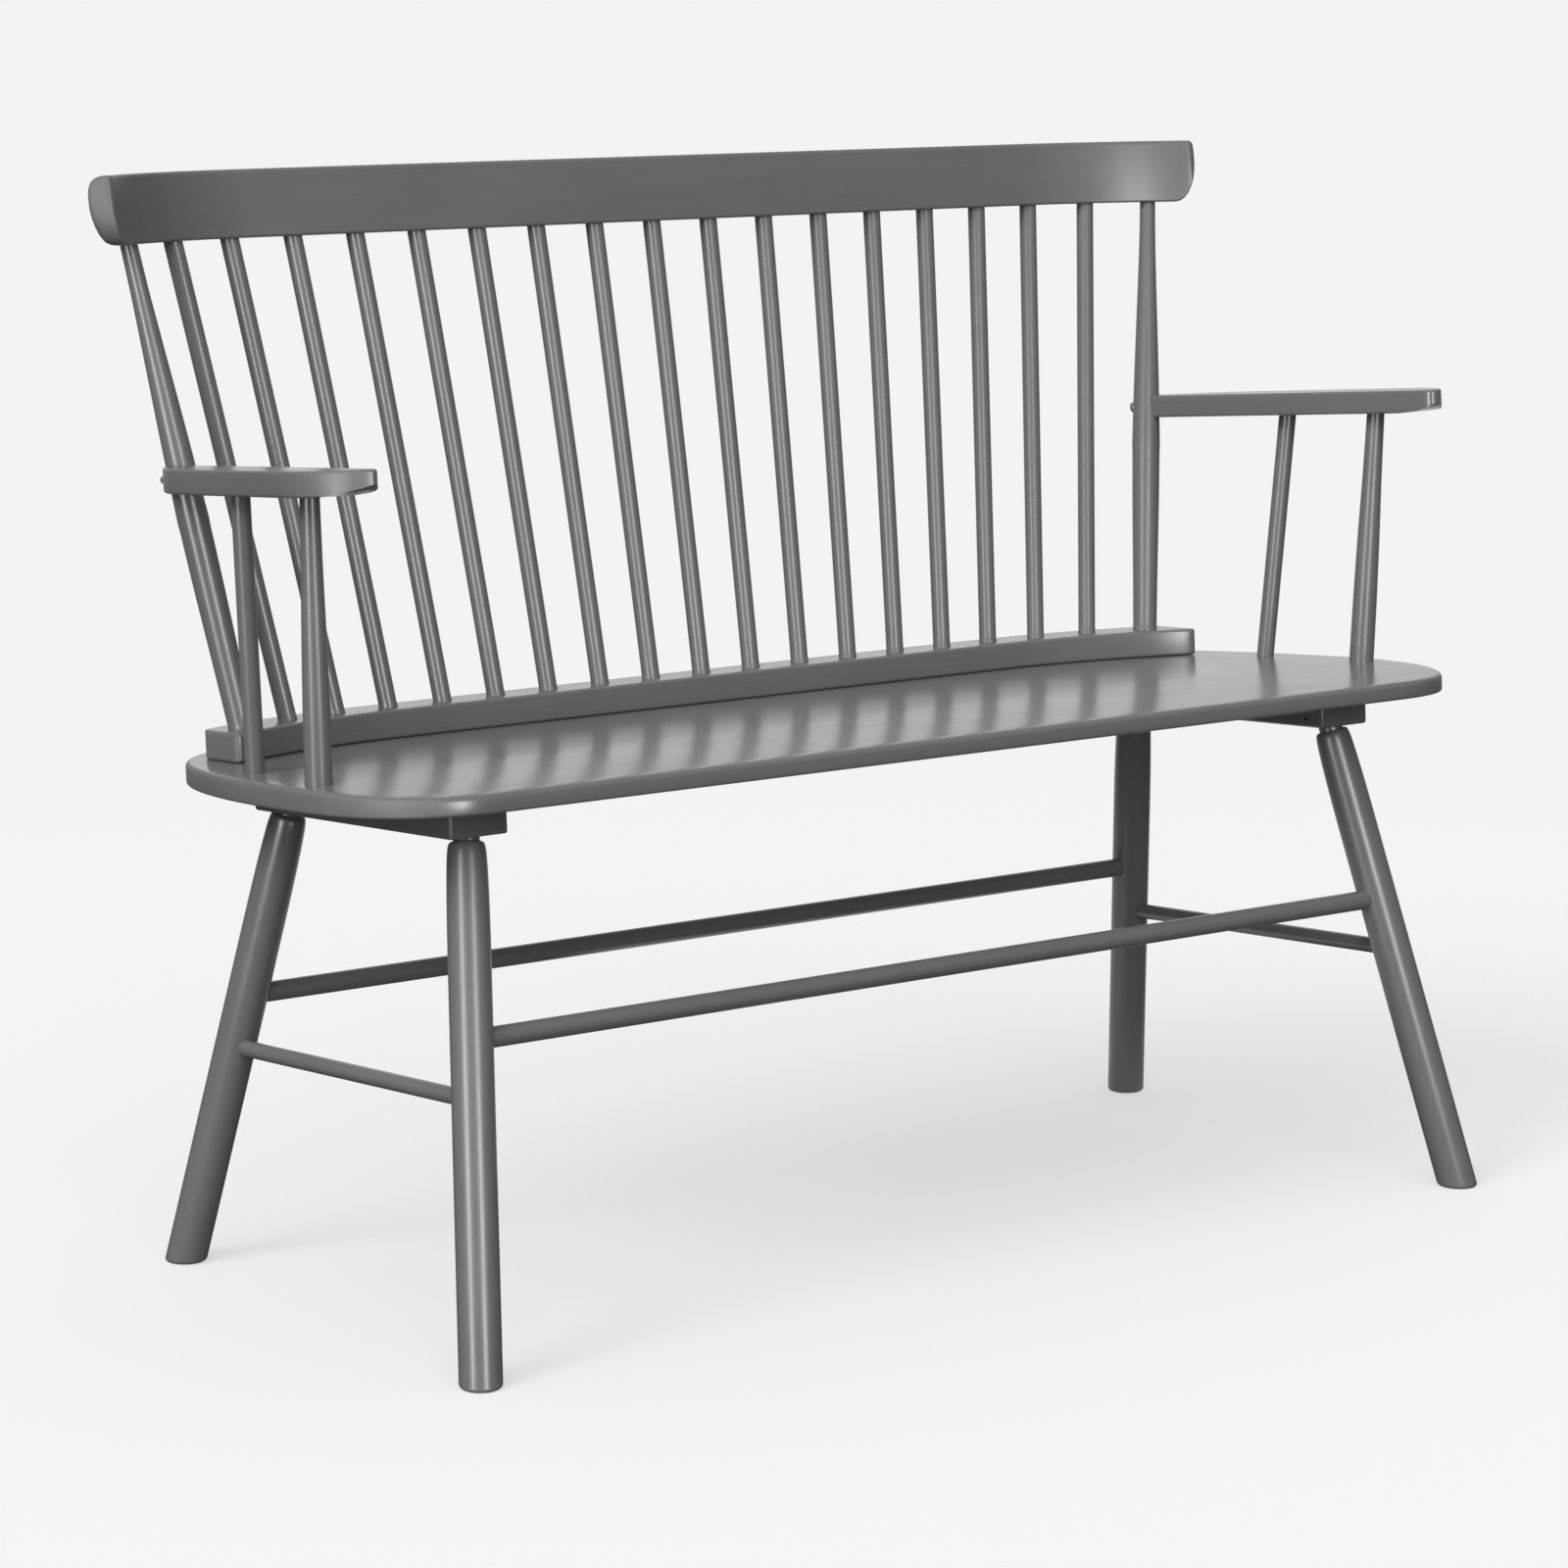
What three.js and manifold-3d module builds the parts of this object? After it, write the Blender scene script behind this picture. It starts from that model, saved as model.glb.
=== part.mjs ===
// Open-leg deacons bench: a raked seat board on two cleats and four splayed legs,
// with a bowed spindle back and two flat arms. Millimetres, +Z up, -Y is the front.
import * as THREE from 'three';
import { mergeVertices } from 'three/addons/utils/BufferGeometryUtils.js';
import Module from 'manifold-3d';

const wasm = await Module();
wasm.setup();

// Fits shared by all pieces
const gap = 0.3; // left between two faces that touch
const overrun = 4; // how far a cut runs past the face it opens

// Seat board
const seatWidth = 1143;
const seatDepth = 435;
const seatHeight = 450; // top of the front edge above the floor
const seatRake = THREE.MathUtils.degToRad(3.6);
const seatFrontThickness = 15;
const seatCrown = 4.6; // how much thicker the board is at its ridge
const seatRounding = 3;

// Cleats under the seat
const cleatInset = 119.5; // centre line inside each end of the seat
const cleatSpacing = seatWidth - 2 * cleatInset; // centre to centre
const cleatWidth = 53.5;
const cleatThickness = 25;
const cleatSetback = 60; // behind the front edge of the seat
const cleatRearSetback = 79; // ahead of its rear edge
const cleatLength = seatDepth - cleatSetback - cleatRearSetback;
const cleatRounding = 2.5;

// Legs
const footSplay = 62.5; // how far each foot stands outside the middle of its cleat
const footSpreadAcross = cleatSpacing + 2 * footSplay; // centre to centre
const footLead = 33; // how far the front feet stand ahead of the seat
const footInset = 16; // how far the rear feet stand ahead of its rear edge
const footSpreadAlong = footLead + seatDepth - footInset;
const legDiameter = 34;
const legInsetFront = 19; // leg axis behind the front end of the cleat
const legInsetRear = 12; // leg axis ahead of the rear end of the cleat
const legTenonDiameter = 21;
const legTenonDepth = 18;
const legShoulderDrop = 5; // bare tenon under the cleat
const legShoulderLength = 90; // from the shoulder to the full diameter
const legPinDiameter = 3;
const legPinRise = 7.5; // pin above the underside of the cleat

// Stretchers
const longStretcherDiameter = 16.7;
const frontStretcherHeight = 253;
const rearStretcherHeight = 230;
const sideStretcherDiameter = 13.7;
const sideStretcherFrontHeight = 209;
const sideStretcherRearHeight = 186;
const stretcherTenonDepth = 10; // past the leg's axis, less the leg's radius

// Spindle rail that lies on the seat
const railHeight = 24;
const railWidth = 53;
const railInset = 39.6; // centre line ahead of the rear edge of the seat
const railSetback = seatDepth - railInset;
const railEndInset = 59.5; // each end inside the end of the seat
const railReach = seatWidth / 2 - railEndInset; // half length, measured across the bench
const railBend = 406; // radius of the turned-in ends
const railBentSpan = 190; // how much of each half is bent
const railStraight = railReach - railBentSpan;
const railCorner = 9;
const railRounding = 2;

// Crest rail
const crestHeight = 57; // along its lean
const crestThickness = 21.5;
const crestRise = 844.2; // middle of its underside above the floor
const crestOverhang = 74.1; // middle of its underside behind that of the spindle rail
const crestSetback = railSetback + crestOverhang;
const crestEndBeyond = 5.4; // middle of each end past the end of the seat
const crestReach = seatWidth / 2 + crestEndBeyond;
const crestBend = 242;
const crestBentSpan = 166.9;
const crestStraight = crestReach - crestBentSpan;
const crestEdge = 3.5; // rounding of its front edges
const crestBackLowRise = 20; // rounding of its lower back edge, up its back
const crestBackLowDepth = 11; // and along its underside
const crestBackTopRise = 29; // rounding of its upper back edge, down its back
const crestBackTopDepth = 17.5; // and along its top
const crestClimbShare = 0.025; // rise of the bent ends, of how far they come forward
const crestEndTopRadius = 4;
const crestEndLowRun = 26; // lower corner of each end, along the rail
const crestEndLowRise = 44; // and up the end
const crestStations = 50; // along its whole length
const crestCurveSteps = 5;

// Spindles and end posts
const spindleCount = 17;
const spindleDiameter = 15.6;
const spindleTenonDiameter = 11;
const postInsetBelow = 32; // along the spindle rail, from its end to the post
const postInsetAbove = 47.84; // along the crest rail
const postExtraPitch = 3.9; // added below, between the last spindle and the post
const postBaseDiameter = 22;
const postWaistDiameter = 25.4; // its widest, at the arm
const postTopDiameter = 14.2;
const postTenonDiameter = 14;
const railTenonDepth = 17;
const crestBoreDepth = 20;
const shoulderLift = 2; // shoulder above the rail, which the lean of the axis needs
const shoulderRounding = 1.2;

// Arms
const armShortfall = 75; // how much shorter an arm is than the seat is deep
const armLength = seatDepth - armShortfall; // from its tip to its front end
const armWidth = 50.5;
const armThickness = 20.2;
const armHeight = 657.5; // middle of the arm at the post, above the floor
const armPitch = THREE.MathUtils.degToRad(4.8); // rises to the front
const armFlare = THREE.MathUtils.degToRad(5.4); // turns outward to the front
const armOverlap = 5; // how far the inner face lies inside the post's axis
const armTip = 8; // tip behind the post's axis
const armRounding = 2;
const armCornerAcross = 8; // at the front end, on the side of the seat
const armCornerAlong = 14;
const armScoopLength = 42; // rounding under the front end
const armScoopDepth = 8.5;

// Arm supports
const supportDiameter = 15.6;
const frontSupportFootDiameter = 22;
const supportSeatDepth = 10;
const supportArmDepth = 11;
const rearSupportInset = 36.5; // foot on the seat, inside the end of the seat
const rearSupportBack = 254; // foot on the seat, behind its front edge
const rearSupportLean = 14; // how much further out the head is than the foot
const rearSupportForward = 9; // how much further forward the head is than the foot
const frontSupportInset = 25;
const frontSupportBack = 138;
const frontSupportLean = 6.5;
const frontSupportForward = 4.5;

// Fasteners
const armBoltDiameter = 6;
const armBoltLength = 46;
const armBoltHeadDiameter = 9.5;
const armBoltHeadHeight = 3.5;
const armBoltTurn = THREE.MathUtils.degToRad(38); // points outward and this far forward
const armBoltSpotDepth = 1;
const screwDiameter = 4.2;
const screwHeadDiameter = 8.4;
const screwHeadHeight = 3.2;
const cleatScrewsPerCleat = 3;
const cleatScrewReach = 9; // into the seat board
const cleatScrewRecess = 4; // head above the underside of the cleat
const railScrewCount = 6;
const railScrewStep = 3; // spindles from one screw to the next
const railScrewReach = 16; // into the spindle rail

// Facets round each kind of piece
const legSides = 18;
const postSides = 16;
const rodSides = 12;
const screwSides = 8;
const curveSteps = 5;
const bevelSteps = 2;
const armBevelSteps = 1;

// Finish
const paint = { color: 0x666967, roughness: 0.42, metalness: 0 };
const steel = { color: 0x6f7172, roughness: 0.35, metalness: 0.9 };

const up = new THREE.Vector3(0, 1, 0); // long axis of every turned piece
const point = (x, y, z) => new THREE.Vector3(x, y, z);
const flat = (x, y) => new THREE.Vector2(x, y);

function piece(name, geometry, finish) {
  const mesh = new THREE.Mesh(geometry, new THREE.MeshStandardMaterial(finish));
  mesh.name = name;
  return mesh;
}

// A closed geometry with merged corners and no collapsed triangles, as a solid
function toSolid(geometry, matrix) {
  const bare = geometry.clone();
  bare.deleteAttribute('normal');
  bare.deleteAttribute('uv');
  bare.applyMatrix4(matrix);
  const merged = mergeVertices(bare);
  const index = merged.index.array;
  const kept = [];
  for (let i = 0; i < index.length; i += 3) {
    const [a, b, c] = [index[i], index[i + 1], index[i + 2]];
    if (a !== b && b !== c && c !== a) kept.push(a, b, c);
  }
  return new wasm.Manifold(new wasm.Mesh({
    numProp: 3,
    vertProperties: new Float32Array(merged.attributes.position.array),
    triVerts: new Uint32Array(kept),
  }));
}

function toGeometry(solid) {
  const mesh = solid.getMesh();
  const geometry = new THREE.BufferGeometry();
  geometry.setAttribute('position', new THREE.BufferAttribute(mesh.vertProperties, 3));
  geometry.setIndex(new THREE.BufferAttribute(mesh.triVerts, 1));
  geometry.computeVertexNormals();
  return geometry;
}

// Cutters are meshes placed anywhere in the bench. They cut in the piece's own frame.
function cut(mesh, cutters) {
  const toOwn = mesh.matrixWorld.clone().invert();
  let solid = toSolid(mesh.geometry, new THREE.Matrix4());
  for (const cutter of cutters) {
    solid = solid.subtract(toSolid(cutter.geometry, toOwn.clone().multiply(cutter.matrixWorld)));
  }
  mesh.geometry = toGeometry(solid);
}

function trim(geometry, envelope) {
  const here = new THREE.Matrix4();
  return toGeometry(toSolid(geometry, here).intersect(toSolid(envelope, here)));
}

// Turned pieces: a profile of (radius, distance along the axis) pairs
function lathe(profile, facets) {
  const [first, last] = [profile[0], profile.at(-1)];
  return new THREE.LatheGeometry([flat(0, first.y), ...profile, flat(0, last.y)], facets);
}

function along(mesh, start, end) {
  mesh.position.copy(start);
  mesh.quaternion.setFromUnitVectors(up, end.clone().sub(start).normalize());
  mesh.updateMatrixWorld(true);
  return mesh;
}

// A bore whose mouth is at start, cut towards end
function bore(diameter, depth, start, end, facets = rodSides) {
  const radius = diameter / 2 + gap;
  const profile = [flat(radius, -overrun), flat(radius, depth)];
  return along(new THREE.Mesh(lathe(profile, facets)), start, end);
}

// Groups that several pieces share
const bench = new THREE.Group();
bench.name = 'deacons_bench';
const seatFrame = new THREE.Group(); // origin at the top of the front edge, raked back
seatFrame.position.z = seatHeight;
seatFrame.rotation.x = -seatRake;
bench.add(seatFrame);
bench.updateMatrixWorld(true);
const onSeat = (x, back, rise) => seatFrame.localToWorld(point(x, back, rise));
const sides = { left: -1, right: 1 };

// Seat board
const seatUnderside = -seatFrontThickness;
// Shares of the depth, and of the crown, along the top of the board from front to back
const seatContourShares = [
  [0.07, 0.35], [0.17, 0.7], [0.36, 1], [0.53, 0.76], [0.68, 0.72], [1, 0.72],
];
const seatRearShare = seatContourShares.at(-1)[1];
const seatTopRear = seatCrown * seatRearShare; // level part that carries the rail
// Shares of the half width and of the depth: the curve of each end
const frontCornerShares = [[0.812, 0], [0.94, 0], [1, 0.1], [1, 0.33]];
const rearCornerShares = [[1, 0.33], [1, 0.61], [0.964, 1], [0.768, 1]];

function seatTop(back) {
  let [from, low] = [0, 0];
  for (const [depthShare, crownShare] of seatContourShares) {
    const [to, high] = [depthShare * seatDepth, crownShare * seatCrown];
    if (back <= to) return low + (high - low) * (back - from) / (to - from);
    [from, low] = [to, high];
  }
  return low;
}

function seatPlan() {
  const half = seatWidth / 2;
  const corner = (shares, side) => shares.map(([x, y]) => flat(side * x * half, y * seatDepth));
  const shape = new THREE.Shape();
  const curve = (points) => shape.bezierCurveTo(...points[1], ...points[2], ...points[3]);
  const frontRight = corner(frontCornerShares, 1);
  const rearRight = corner(rearCornerShares, 1);
  const rearLeft = corner(rearCornerShares, -1).reverse();
  const frontLeft = corner(frontCornerShares, -1).reverse();
  shape.moveTo(...frontRight[0]);
  curve(frontRight);
  curve(rearRight);
  shape.lineTo(...rearLeft[0]);
  curve(rearLeft);
  curve(frontLeft);
  return shape;
}

function seatSection() {
  const shape = new THREE.Shape();
  shape.moveTo(seatRounding, seatUnderside);
  shape.lineTo(seatDepth, seatUnderside);
  shape.lineTo(seatDepth, seatTopRear - seatRounding);
  shape.lineTo(seatDepth - seatRounding, seatTopRear);
  for (const [depthShare, crownShare] of seatContourShares.slice(0, -1).reverse()) {
    shape.lineTo(depthShare * seatDepth, crownShare * seatCrown);
  }
  shape.lineTo(seatRounding, seatTop(seatRounding));
  shape.lineTo(0, -seatRounding);
  shape.lineTo(0, seatUnderside + seatRounding);
  return shape;
}

function seatBoard() {
  const section = new THREE.ExtrudeGeometry(seatSection(), { depth: seatWidth, bevelEnabled: false });
  // The section's (back, rise) plane stands across the bench
  section.applyMatrix4(new THREE.Matrix4().makeBasis(
    point(0, 1, 0), point(0, 0, 1), point(1, 0, 0)));
  section.translate(-seatWidth / 2, 0, 0);
  const plan = new THREE.ExtrudeGeometry(seatPlan(), {
    depth: seatFrontThickness + seatCrown - 2 * seatRounding,
    bevelThickness: seatRounding,
    bevelSize: seatRounding,
    bevelOffset: -seatRounding,
    bevelSegments: bevelSteps,
    curveSegments: curveSteps,
  });
  plan.translate(0, 0, seatUnderside + seatRounding);
  const board = piece('seat_board', trim(section, plan), paint);
  seatFrame.add(board);
  return board;
}

// Bowed rails: a straight middle, then an arc towards the front at each end.
// The angle that each arc turns through
function bowSweep(bow) {
  return Math.asin((bow.reach - bow.straight) / bow.bend);
}

// Point on the centre line at a distance along it from the middle, in the rail's own frame
function onBow(bow, distance) {
  const [side, length] = [Math.sign(distance), Math.abs(distance)];
  if (length <= bow.straight) return flat(distance, 0);
  const angle = (length - bow.straight) / bow.bend;
  return flat(side * (bow.straight + bow.bend * Math.sin(angle)), -bow.bend * (1 - Math.cos(angle)));
}

// Its outline from above. The ends are cut square to the length of the bench
function bowPlan(bow) {
  const [outer, inner] = [bow.bend + bow.width / 2, bow.bend - bow.width / 2];
  const length = bow.reach - bow.straight;
  const at = (side, radius, angle) => flat(
    side * (bow.straight + radius * Math.sin(angle)), radius * Math.cos(angle) - bow.bend);
  const sweepOf = (radius) => Math.asin(length / radius);
  const shape = new THREE.Shape();
  const end = (side, from, to) => {
    const [first, last] = [from, to].map((radius) => at(side, radius, sweepOf(radius)));
    const step = Math.sign(last.y - first.y) * bow.corner;
    shape.quadraticCurveTo(...first, first.x, first.y + step);
    shape.lineTo(last.x, last.y - step);
    shape.quadraticCurveTo(...last, ...at(side, to, sweepOf(to) - bow.corner / to));
  };
  const quarter = Math.PI / 2;
  const [outerSweep, innerSweep] = [outer, inner].map((radius) => sweepOf(radius) - bow.corner / radius);
  shape.moveTo(-bow.straight, inner - bow.bend);
  shape.lineTo(bow.straight, inner - bow.bend);
  shape.absarc(bow.straight, -bow.bend, inner, quarter, quarter - innerSweep, true);
  end(1, inner, outer);
  shape.absarc(bow.straight, -bow.bend, outer, quarter - outerSweep, quarter, false);
  shape.lineTo(-bow.straight, outer - bow.bend);
  shape.absarc(-bow.straight, -bow.bend, outer, quarter, quarter + outerSweep, false);
  end(-1, outer, inner);
  shape.absarc(-bow.straight, -bow.bend, inner, quarter + innerSweep, quarter, true);
  return shape;
}

function bowBoard(bow) {
  const board = new THREE.ExtrudeGeometry(bowPlan(bow), {
    depth: bow.height - 2 * bow.rounding,
    bevelThickness: bow.rounding,
    bevelSize: bow.rounding,
    bevelOffset: -bow.rounding,
    bevelSegments: bevelSteps,
    curveSegments: curveSteps,
  });
  board.translate(0, 0, bow.rounding);
  return board;
}

// Spindle rail
const railBow = {
  straight: railStraight, bend: railBend, reach: railReach, width: railWidth,
  height: railHeight, corner: railCorner, rounding: railRounding,
};
const railUnderside = seatTopRear + gap;

function spindleRail() {
  const rail = piece('spindle_rail', bowBoard(railBow), paint);
  rail.position.set(0, railSetback, railUnderside);
  seatFrame.add(rail);
  return rail;
}

// Crest rail: an upright section carried along the bow, then leaned back as a whole
const crestBow = { straight: crestStraight, bend: crestBend, reach: crestReach };
const railTopMiddle = onSeat(0, railSetback, railUnderside + railHeight);
const backLean = Math.atan2(crestSetback - railTopMiddle.y, crestRise - railTopMiddle.z);
const crestFrame = new THREE.Group(); // origin at the middle of its underside
crestFrame.position.set(0, crestSetback, crestRise);
bench.add(crestFrame);
bench.updateMatrixWorld(true);

// Drawn as (down, back)
function crestSection() {
  const [front, rear] = [-crestThickness / 2, crestThickness / 2];
  const at = (back, rise) => [-rise, back];
  const shape = new THREE.Shape();
  shape.moveTo(...at(front + crestEdge, 0));
  shape.lineTo(...at(rear - crestBackLowDepth, 0));
  shape.quadraticCurveTo(...at(rear, 0), ...at(rear, crestBackLowRise));
  shape.lineTo(...at(rear, crestHeight - crestBackTopRise));
  shape.quadraticCurveTo(...at(rear, crestHeight), ...at(rear - crestBackTopDepth, crestHeight));
  shape.lineTo(...at(front + crestEdge, crestHeight));
  shape.quadraticCurveTo(...at(front, crestHeight), ...at(front, crestHeight - crestEdge));
  shape.lineTo(...at(front, crestEdge));
  shape.quadraticCurveTo(...at(front, 0), ...at(front + crestEdge, 0));
  return shape;
}

// The centre line of its underside, run on past each end by half the thickness
function crestPath() {
  const sweep = bowSweep({ ...crestBow, reach: crestReach + crestThickness / 2 });
  const handle = 4 / 3 * Math.tan(sweep / 4) * crestBend;
  const arc = (side) => {
    const turn = point(side * Math.cos(sweep), -Math.sin(sweep), 0);
    const end = point(
      side * (crestStraight + crestBend * Math.sin(sweep)), crestBend * (Math.cos(sweep) - 1), 0);
    const start = point(side * crestStraight, 0, 0);
    return [start, start.clone().setX(side * (crestStraight + handle)),
      end.clone().addScaledVector(turn, -handle), end];
  };
  const [left, right] = [arc(-1).reverse(), arc(1)];
  const path = new THREE.CurvePath();
  path.add(new THREE.CubicBezierCurve3(...left));
  path.add(new THREE.LineCurve3(left.at(-1), right[0]));
  path.add(new THREE.CubicBezierCurve3(...right));
  return path;
}

// What is sawn off past an end, drawn as (outward, up): a tight corner above, a long one below
function crestOffcut() {
  const clear = 2 * crestThickness;
  const shape = new THREE.Shape();
  shape.moveTo(-crestEndLowRun, -clear);
  shape.lineTo(clear, -clear);
  shape.lineTo(clear, crestHeight + clear);
  shape.lineTo(-crestEndTopRadius, crestHeight + clear);
  shape.lineTo(-crestEndTopRadius, crestHeight);
  shape.quadraticCurveTo(0, crestHeight, 0, crestHeight - crestEndTopRadius);
  shape.lineTo(0, crestEndLowRise);
  shape.quadraticCurveTo(0, 0, -crestEndLowRun, 0);
  const offcut = new THREE.ExtrudeGeometry(shape, {
    depth: 2 * clear, bevelEnabled: false, curveSegments: 2 * crestCurveSteps,
  });
  offcut.translate(0, 0, -clear);
  return offcut;
}

// Each end is square to the bent rail
function crestEndPlace(side) {
  const sweep = bowSweep(crestBow);
  const outward = point(side * Math.cos(sweep), -Math.sin(sweep), 0);
  const rise = point(0, 0, 1);
  const place = new THREE.Matrix4().makeBasis(outward, rise, outward.clone().cross(rise));
  return place.setPosition(side * crestReach, crestBend * (Math.cos(sweep) - 1), 0);
}

function crestRail() {
  const bent = new THREE.ExtrudeGeometry(crestSection(), {
    steps: crestStations, extrudePath: crestPath(), curveSegments: crestCurveSteps,
  });
  let solid = toSolid(bent, new THREE.Matrix4());
  for (const side of [-1, 1]) {
    solid = solid.subtract(toSolid(crestOffcut(), crestEndPlace(side)));
  }
  const leaned = toGeometry(solid);
  // The top moves back, the underside stays level and the bent ends climb a little
  leaned.applyMatrix4(new THREE.Matrix4().makeBasis(
    point(1, 0, 0), point(0, 1, -crestClimbShare),
    point(0, Math.sin(backLean), Math.cos(backLean))));
  const rail = piece('crest_rail', leaned, paint);
  crestFrame.add(rail);
  return rail;
}

// Uprights: 17 spindles with a post at each end
const lastUpright = (spindleCount + 1) / 2;

// Half the length of a rail, along its centre line
function halfLength(bow) {
  return bow.straight + bow.bend * bowSweep(bow);
}

const pitchBelow = (halfLength(railBow) - postInsetBelow - postExtraPitch) / lastUpright;
const pitchAbove = (halfLength(crestBow) - postInsetAbove) / lastUpright;

function uprightPoints(place) {
  const isPost = Math.abs(place) === lastUpright;
  const extra = isPost ? Math.sign(place) * postExtraPitch : 0;
  const below = onBow(railBow, place * pitchBelow + extra);
  const above = onBow(crestBow, place * pitchAbove);
  const railTop = railUnderside + railHeight;
  return {
    foot: onSeat(below.x, railSetback + below.y, railTop),
    head: crestFrame.localToWorld(point(above.x, above.y, 0)),
    isPost,
  };
}

// Shares of the height, with those of the change from base to waist, then from waist to top
const postSwellShares = [[0, 0], [0.11, 0.25], [0.2, 0.57], [0.29, 0.87], [0.38, 1]];
const postTaperShares = [
  [0.46, 0], [0.55, 0.14], [0.63, 0.3], [0.71, 0.49], [0.8, 0.7], [0.9, 0.92], [1, 1],
];

function postProfile(length) {
  const [base, waist, top] = [postBaseDiameter / 2, postWaistDiameter / 2, postTopDiameter / 2];
  const blend = (from, to) => ([height, share]) => flat(from + (to - from) * share, height * length);
  return [
    ...postSwellShares.map(blend(base, waist)),
    ...postTaperShares.map(blend(waist, top)),
  ];
}

function uprightBody(length, isPost) {
  if (isPost) return postProfile(length);
  return [flat(spindleDiameter / 2, 0), flat(spindleDiameter / 2, length)];
}

// A tenon enters the rail below its shoulder. The top enters the crest at its full diameter
function uprightProfile(length, isPost) {
  const tenon = (isPost ? postTenonDiameter : spindleTenonDiameter) / 2;
  const body = uprightBody(length, isPost);
  const [low, high] = [body[0], body.at(-1)];
  return [
    flat(tenon, -railTenonDepth),
    flat(tenon, shoulderLift),
    flat(low.x - shoulderRounding, shoulderLift),
    flat(low.x, shoulderLift + shoulderRounding),
    ...body.slice(1),
    flat(high.x, length + crestBoreDepth),
  ];
}

function uprights() {
  const made = [];
  for (let place = -lastUpright; place <= lastUpright; place += 1) {
    const { foot, head, isPost } = uprightPoints(place);
    const profile = uprightProfile(foot.distanceTo(head), isPost);
    const number = String(place + lastUpright).padStart(2, '0');
    const side = place < 0 ? 'left' : 'right';
    const name = isPost ? `back_post_${side}` : `spindle_${number}`;
    const facets = isPost ? postSides : rodSides;
    const upright = along(piece(name, lathe(profile, facets), paint), foot, head);
    bench.add(upright);
    made.push({ mesh: upright, foot, head, isPost, side });
  }
  return made;
}

function uprightBores({ foot, head, isPost }) {
  const tenon = isPost ? postTenonDiameter : spindleTenonDiameter;
  const top = isPost ? postTopDiameter : spindleDiameter;
  const facets = isPost ? postSides : rodSides;
  return {
    below: bore(tenon, railTenonDepth + gap, foot, foot.clone().multiplyScalar(2).sub(head), facets),
    above: bore(top, crestBoreDepth + gap, head, head.clone().multiplyScalar(2).sub(foot), facets),
  };
}

// Cleats
const cleatTop = seatUnderside - gap;
const cleatUnderside = cleatTop - cleatThickness;

function cleat(side) {
  const shape = new THREE.Shape();
  const [half, corner] = [cleatWidth / 2, cleatRounding];
  shape.moveTo(-half, corner);
  shape.quadraticCurveTo(-half, 0, corner - half, 0);
  shape.lineTo(half - corner, 0);
  shape.quadraticCurveTo(half, 0, half, corner);
  shape.lineTo(half, cleatThickness);
  shape.lineTo(-half, cleatThickness);
  const bar = new THREE.ExtrudeGeometry(shape, {
    depth: cleatLength, bevelEnabled: false, curveSegments: bevelSteps,
  });
  bar.rotateX(Math.PI / 2);
  const mesh = piece(`cleat_${side}`, bar, paint);
  mesh.position.set(sides[side] * cleatSpacing / 2, cleatSetback + cleatLength, cleatUnderside);
  seatFrame.add(mesh);
  return mesh;
}

// Legs: each runs from a foot on the floor to a tenon in its cleat
const legPlaces = {
  front: { back: cleatSetback + legInsetFront, footBack: -footLead },
  rear: { back: cleatSetback + cleatLength - legInsetRear, footBack: footSpreadAlong - footLead },
};

function legPoints(end, side) {
  const place = legPlaces[end];
  return {
    foot: point(sides[side] * footSpreadAcross / 2, place.footBack, 0),
    head: onSeat(sides[side] * cleatSpacing / 2, place.back, cleatUnderside),
  };
}

// Radius shares between tenon (0) and full leg (1), by shares of the shoulder's length
const legShoulderShares = [[0.015, 0.42], [0.06, 0.7], [0.17, 0.82], [0.45, 0.93], [1, 1]];

function leg(end, side) {
  const { foot, head } = legPoints(end, side);
  const [tenon, full] = [legTenonDiameter / 2, legDiameter / 2];
  const profile = [
    flat(tenon, -legTenonDepth),
    flat(tenon, legShoulderDrop),
    ...legShoulderShares.map(([down, out]) => flat(
      tenon + (full - tenon) * out, legShoulderDrop + legShoulderLength * down)),
    flat(full, head.distanceTo(foot) + legDiameter),
  ];
  const mesh = along(piece(`leg_${end}_${side}`, lathe(profile, legSides), paint), head, foot);
  bench.add(mesh);
  return mesh;
}

function floorCutter() {
  const [width, depth] = [2 * footSpreadAcross, 2 * footSpreadAlong];
  const block = new THREE.Mesh(new THREE.BoxGeometry(width, depth, seatHeight));
  block.position.set(0, footSpreadAlong / 2 - footLead, -seatHeight / 2);
  block.updateMatrixWorld(true);
  return block;
}

function onLeg(end, side, height) {
  const { foot, head } = legPoints(end, side);
  return foot.lerp(head, height / head.z);
}

// Stretchers: each end stops short of the far side of its leg, in a blind bore
const stretchers = {
  stretcher_front: {
    diameter: longStretcherDiameter,
    ends: [['front', 'left', frontStretcherHeight], ['front', 'right', frontStretcherHeight]],
  },
  stretcher_rear: {
    diameter: longStretcherDiameter,
    ends: [['rear', 'left', rearStretcherHeight], ['rear', 'right', rearStretcherHeight]],
  },
  stretcher_left: {
    diameter: sideStretcherDiameter,
    ends: [['front', 'left', sideStretcherFrontHeight], ['rear', 'left', sideStretcherRearHeight]],
  },
  stretcher_right: {
    diameter: sideStretcherDiameter,
    ends: [['front', 'right', sideStretcherFrontHeight], ['rear', 'right', sideStretcherRearHeight]],
  },
};

function stretcher(name) {
  const { diameter, ends } = stretchers[name];
  const [start, end] = ends.map((place) => onLeg(...place));
  const length = start.distanceTo(end);
  const back = legDiameter / 2 - stretcherTenonDepth; // tenon's end from the leg's axis
  const profile = [flat(diameter / 2, -back), flat(diameter / 2, length + back)];
  const mesh = along(piece(name, lathe(profile, rodSides), paint), start, end);
  bench.add(mesh);
  return mesh;
}

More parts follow.
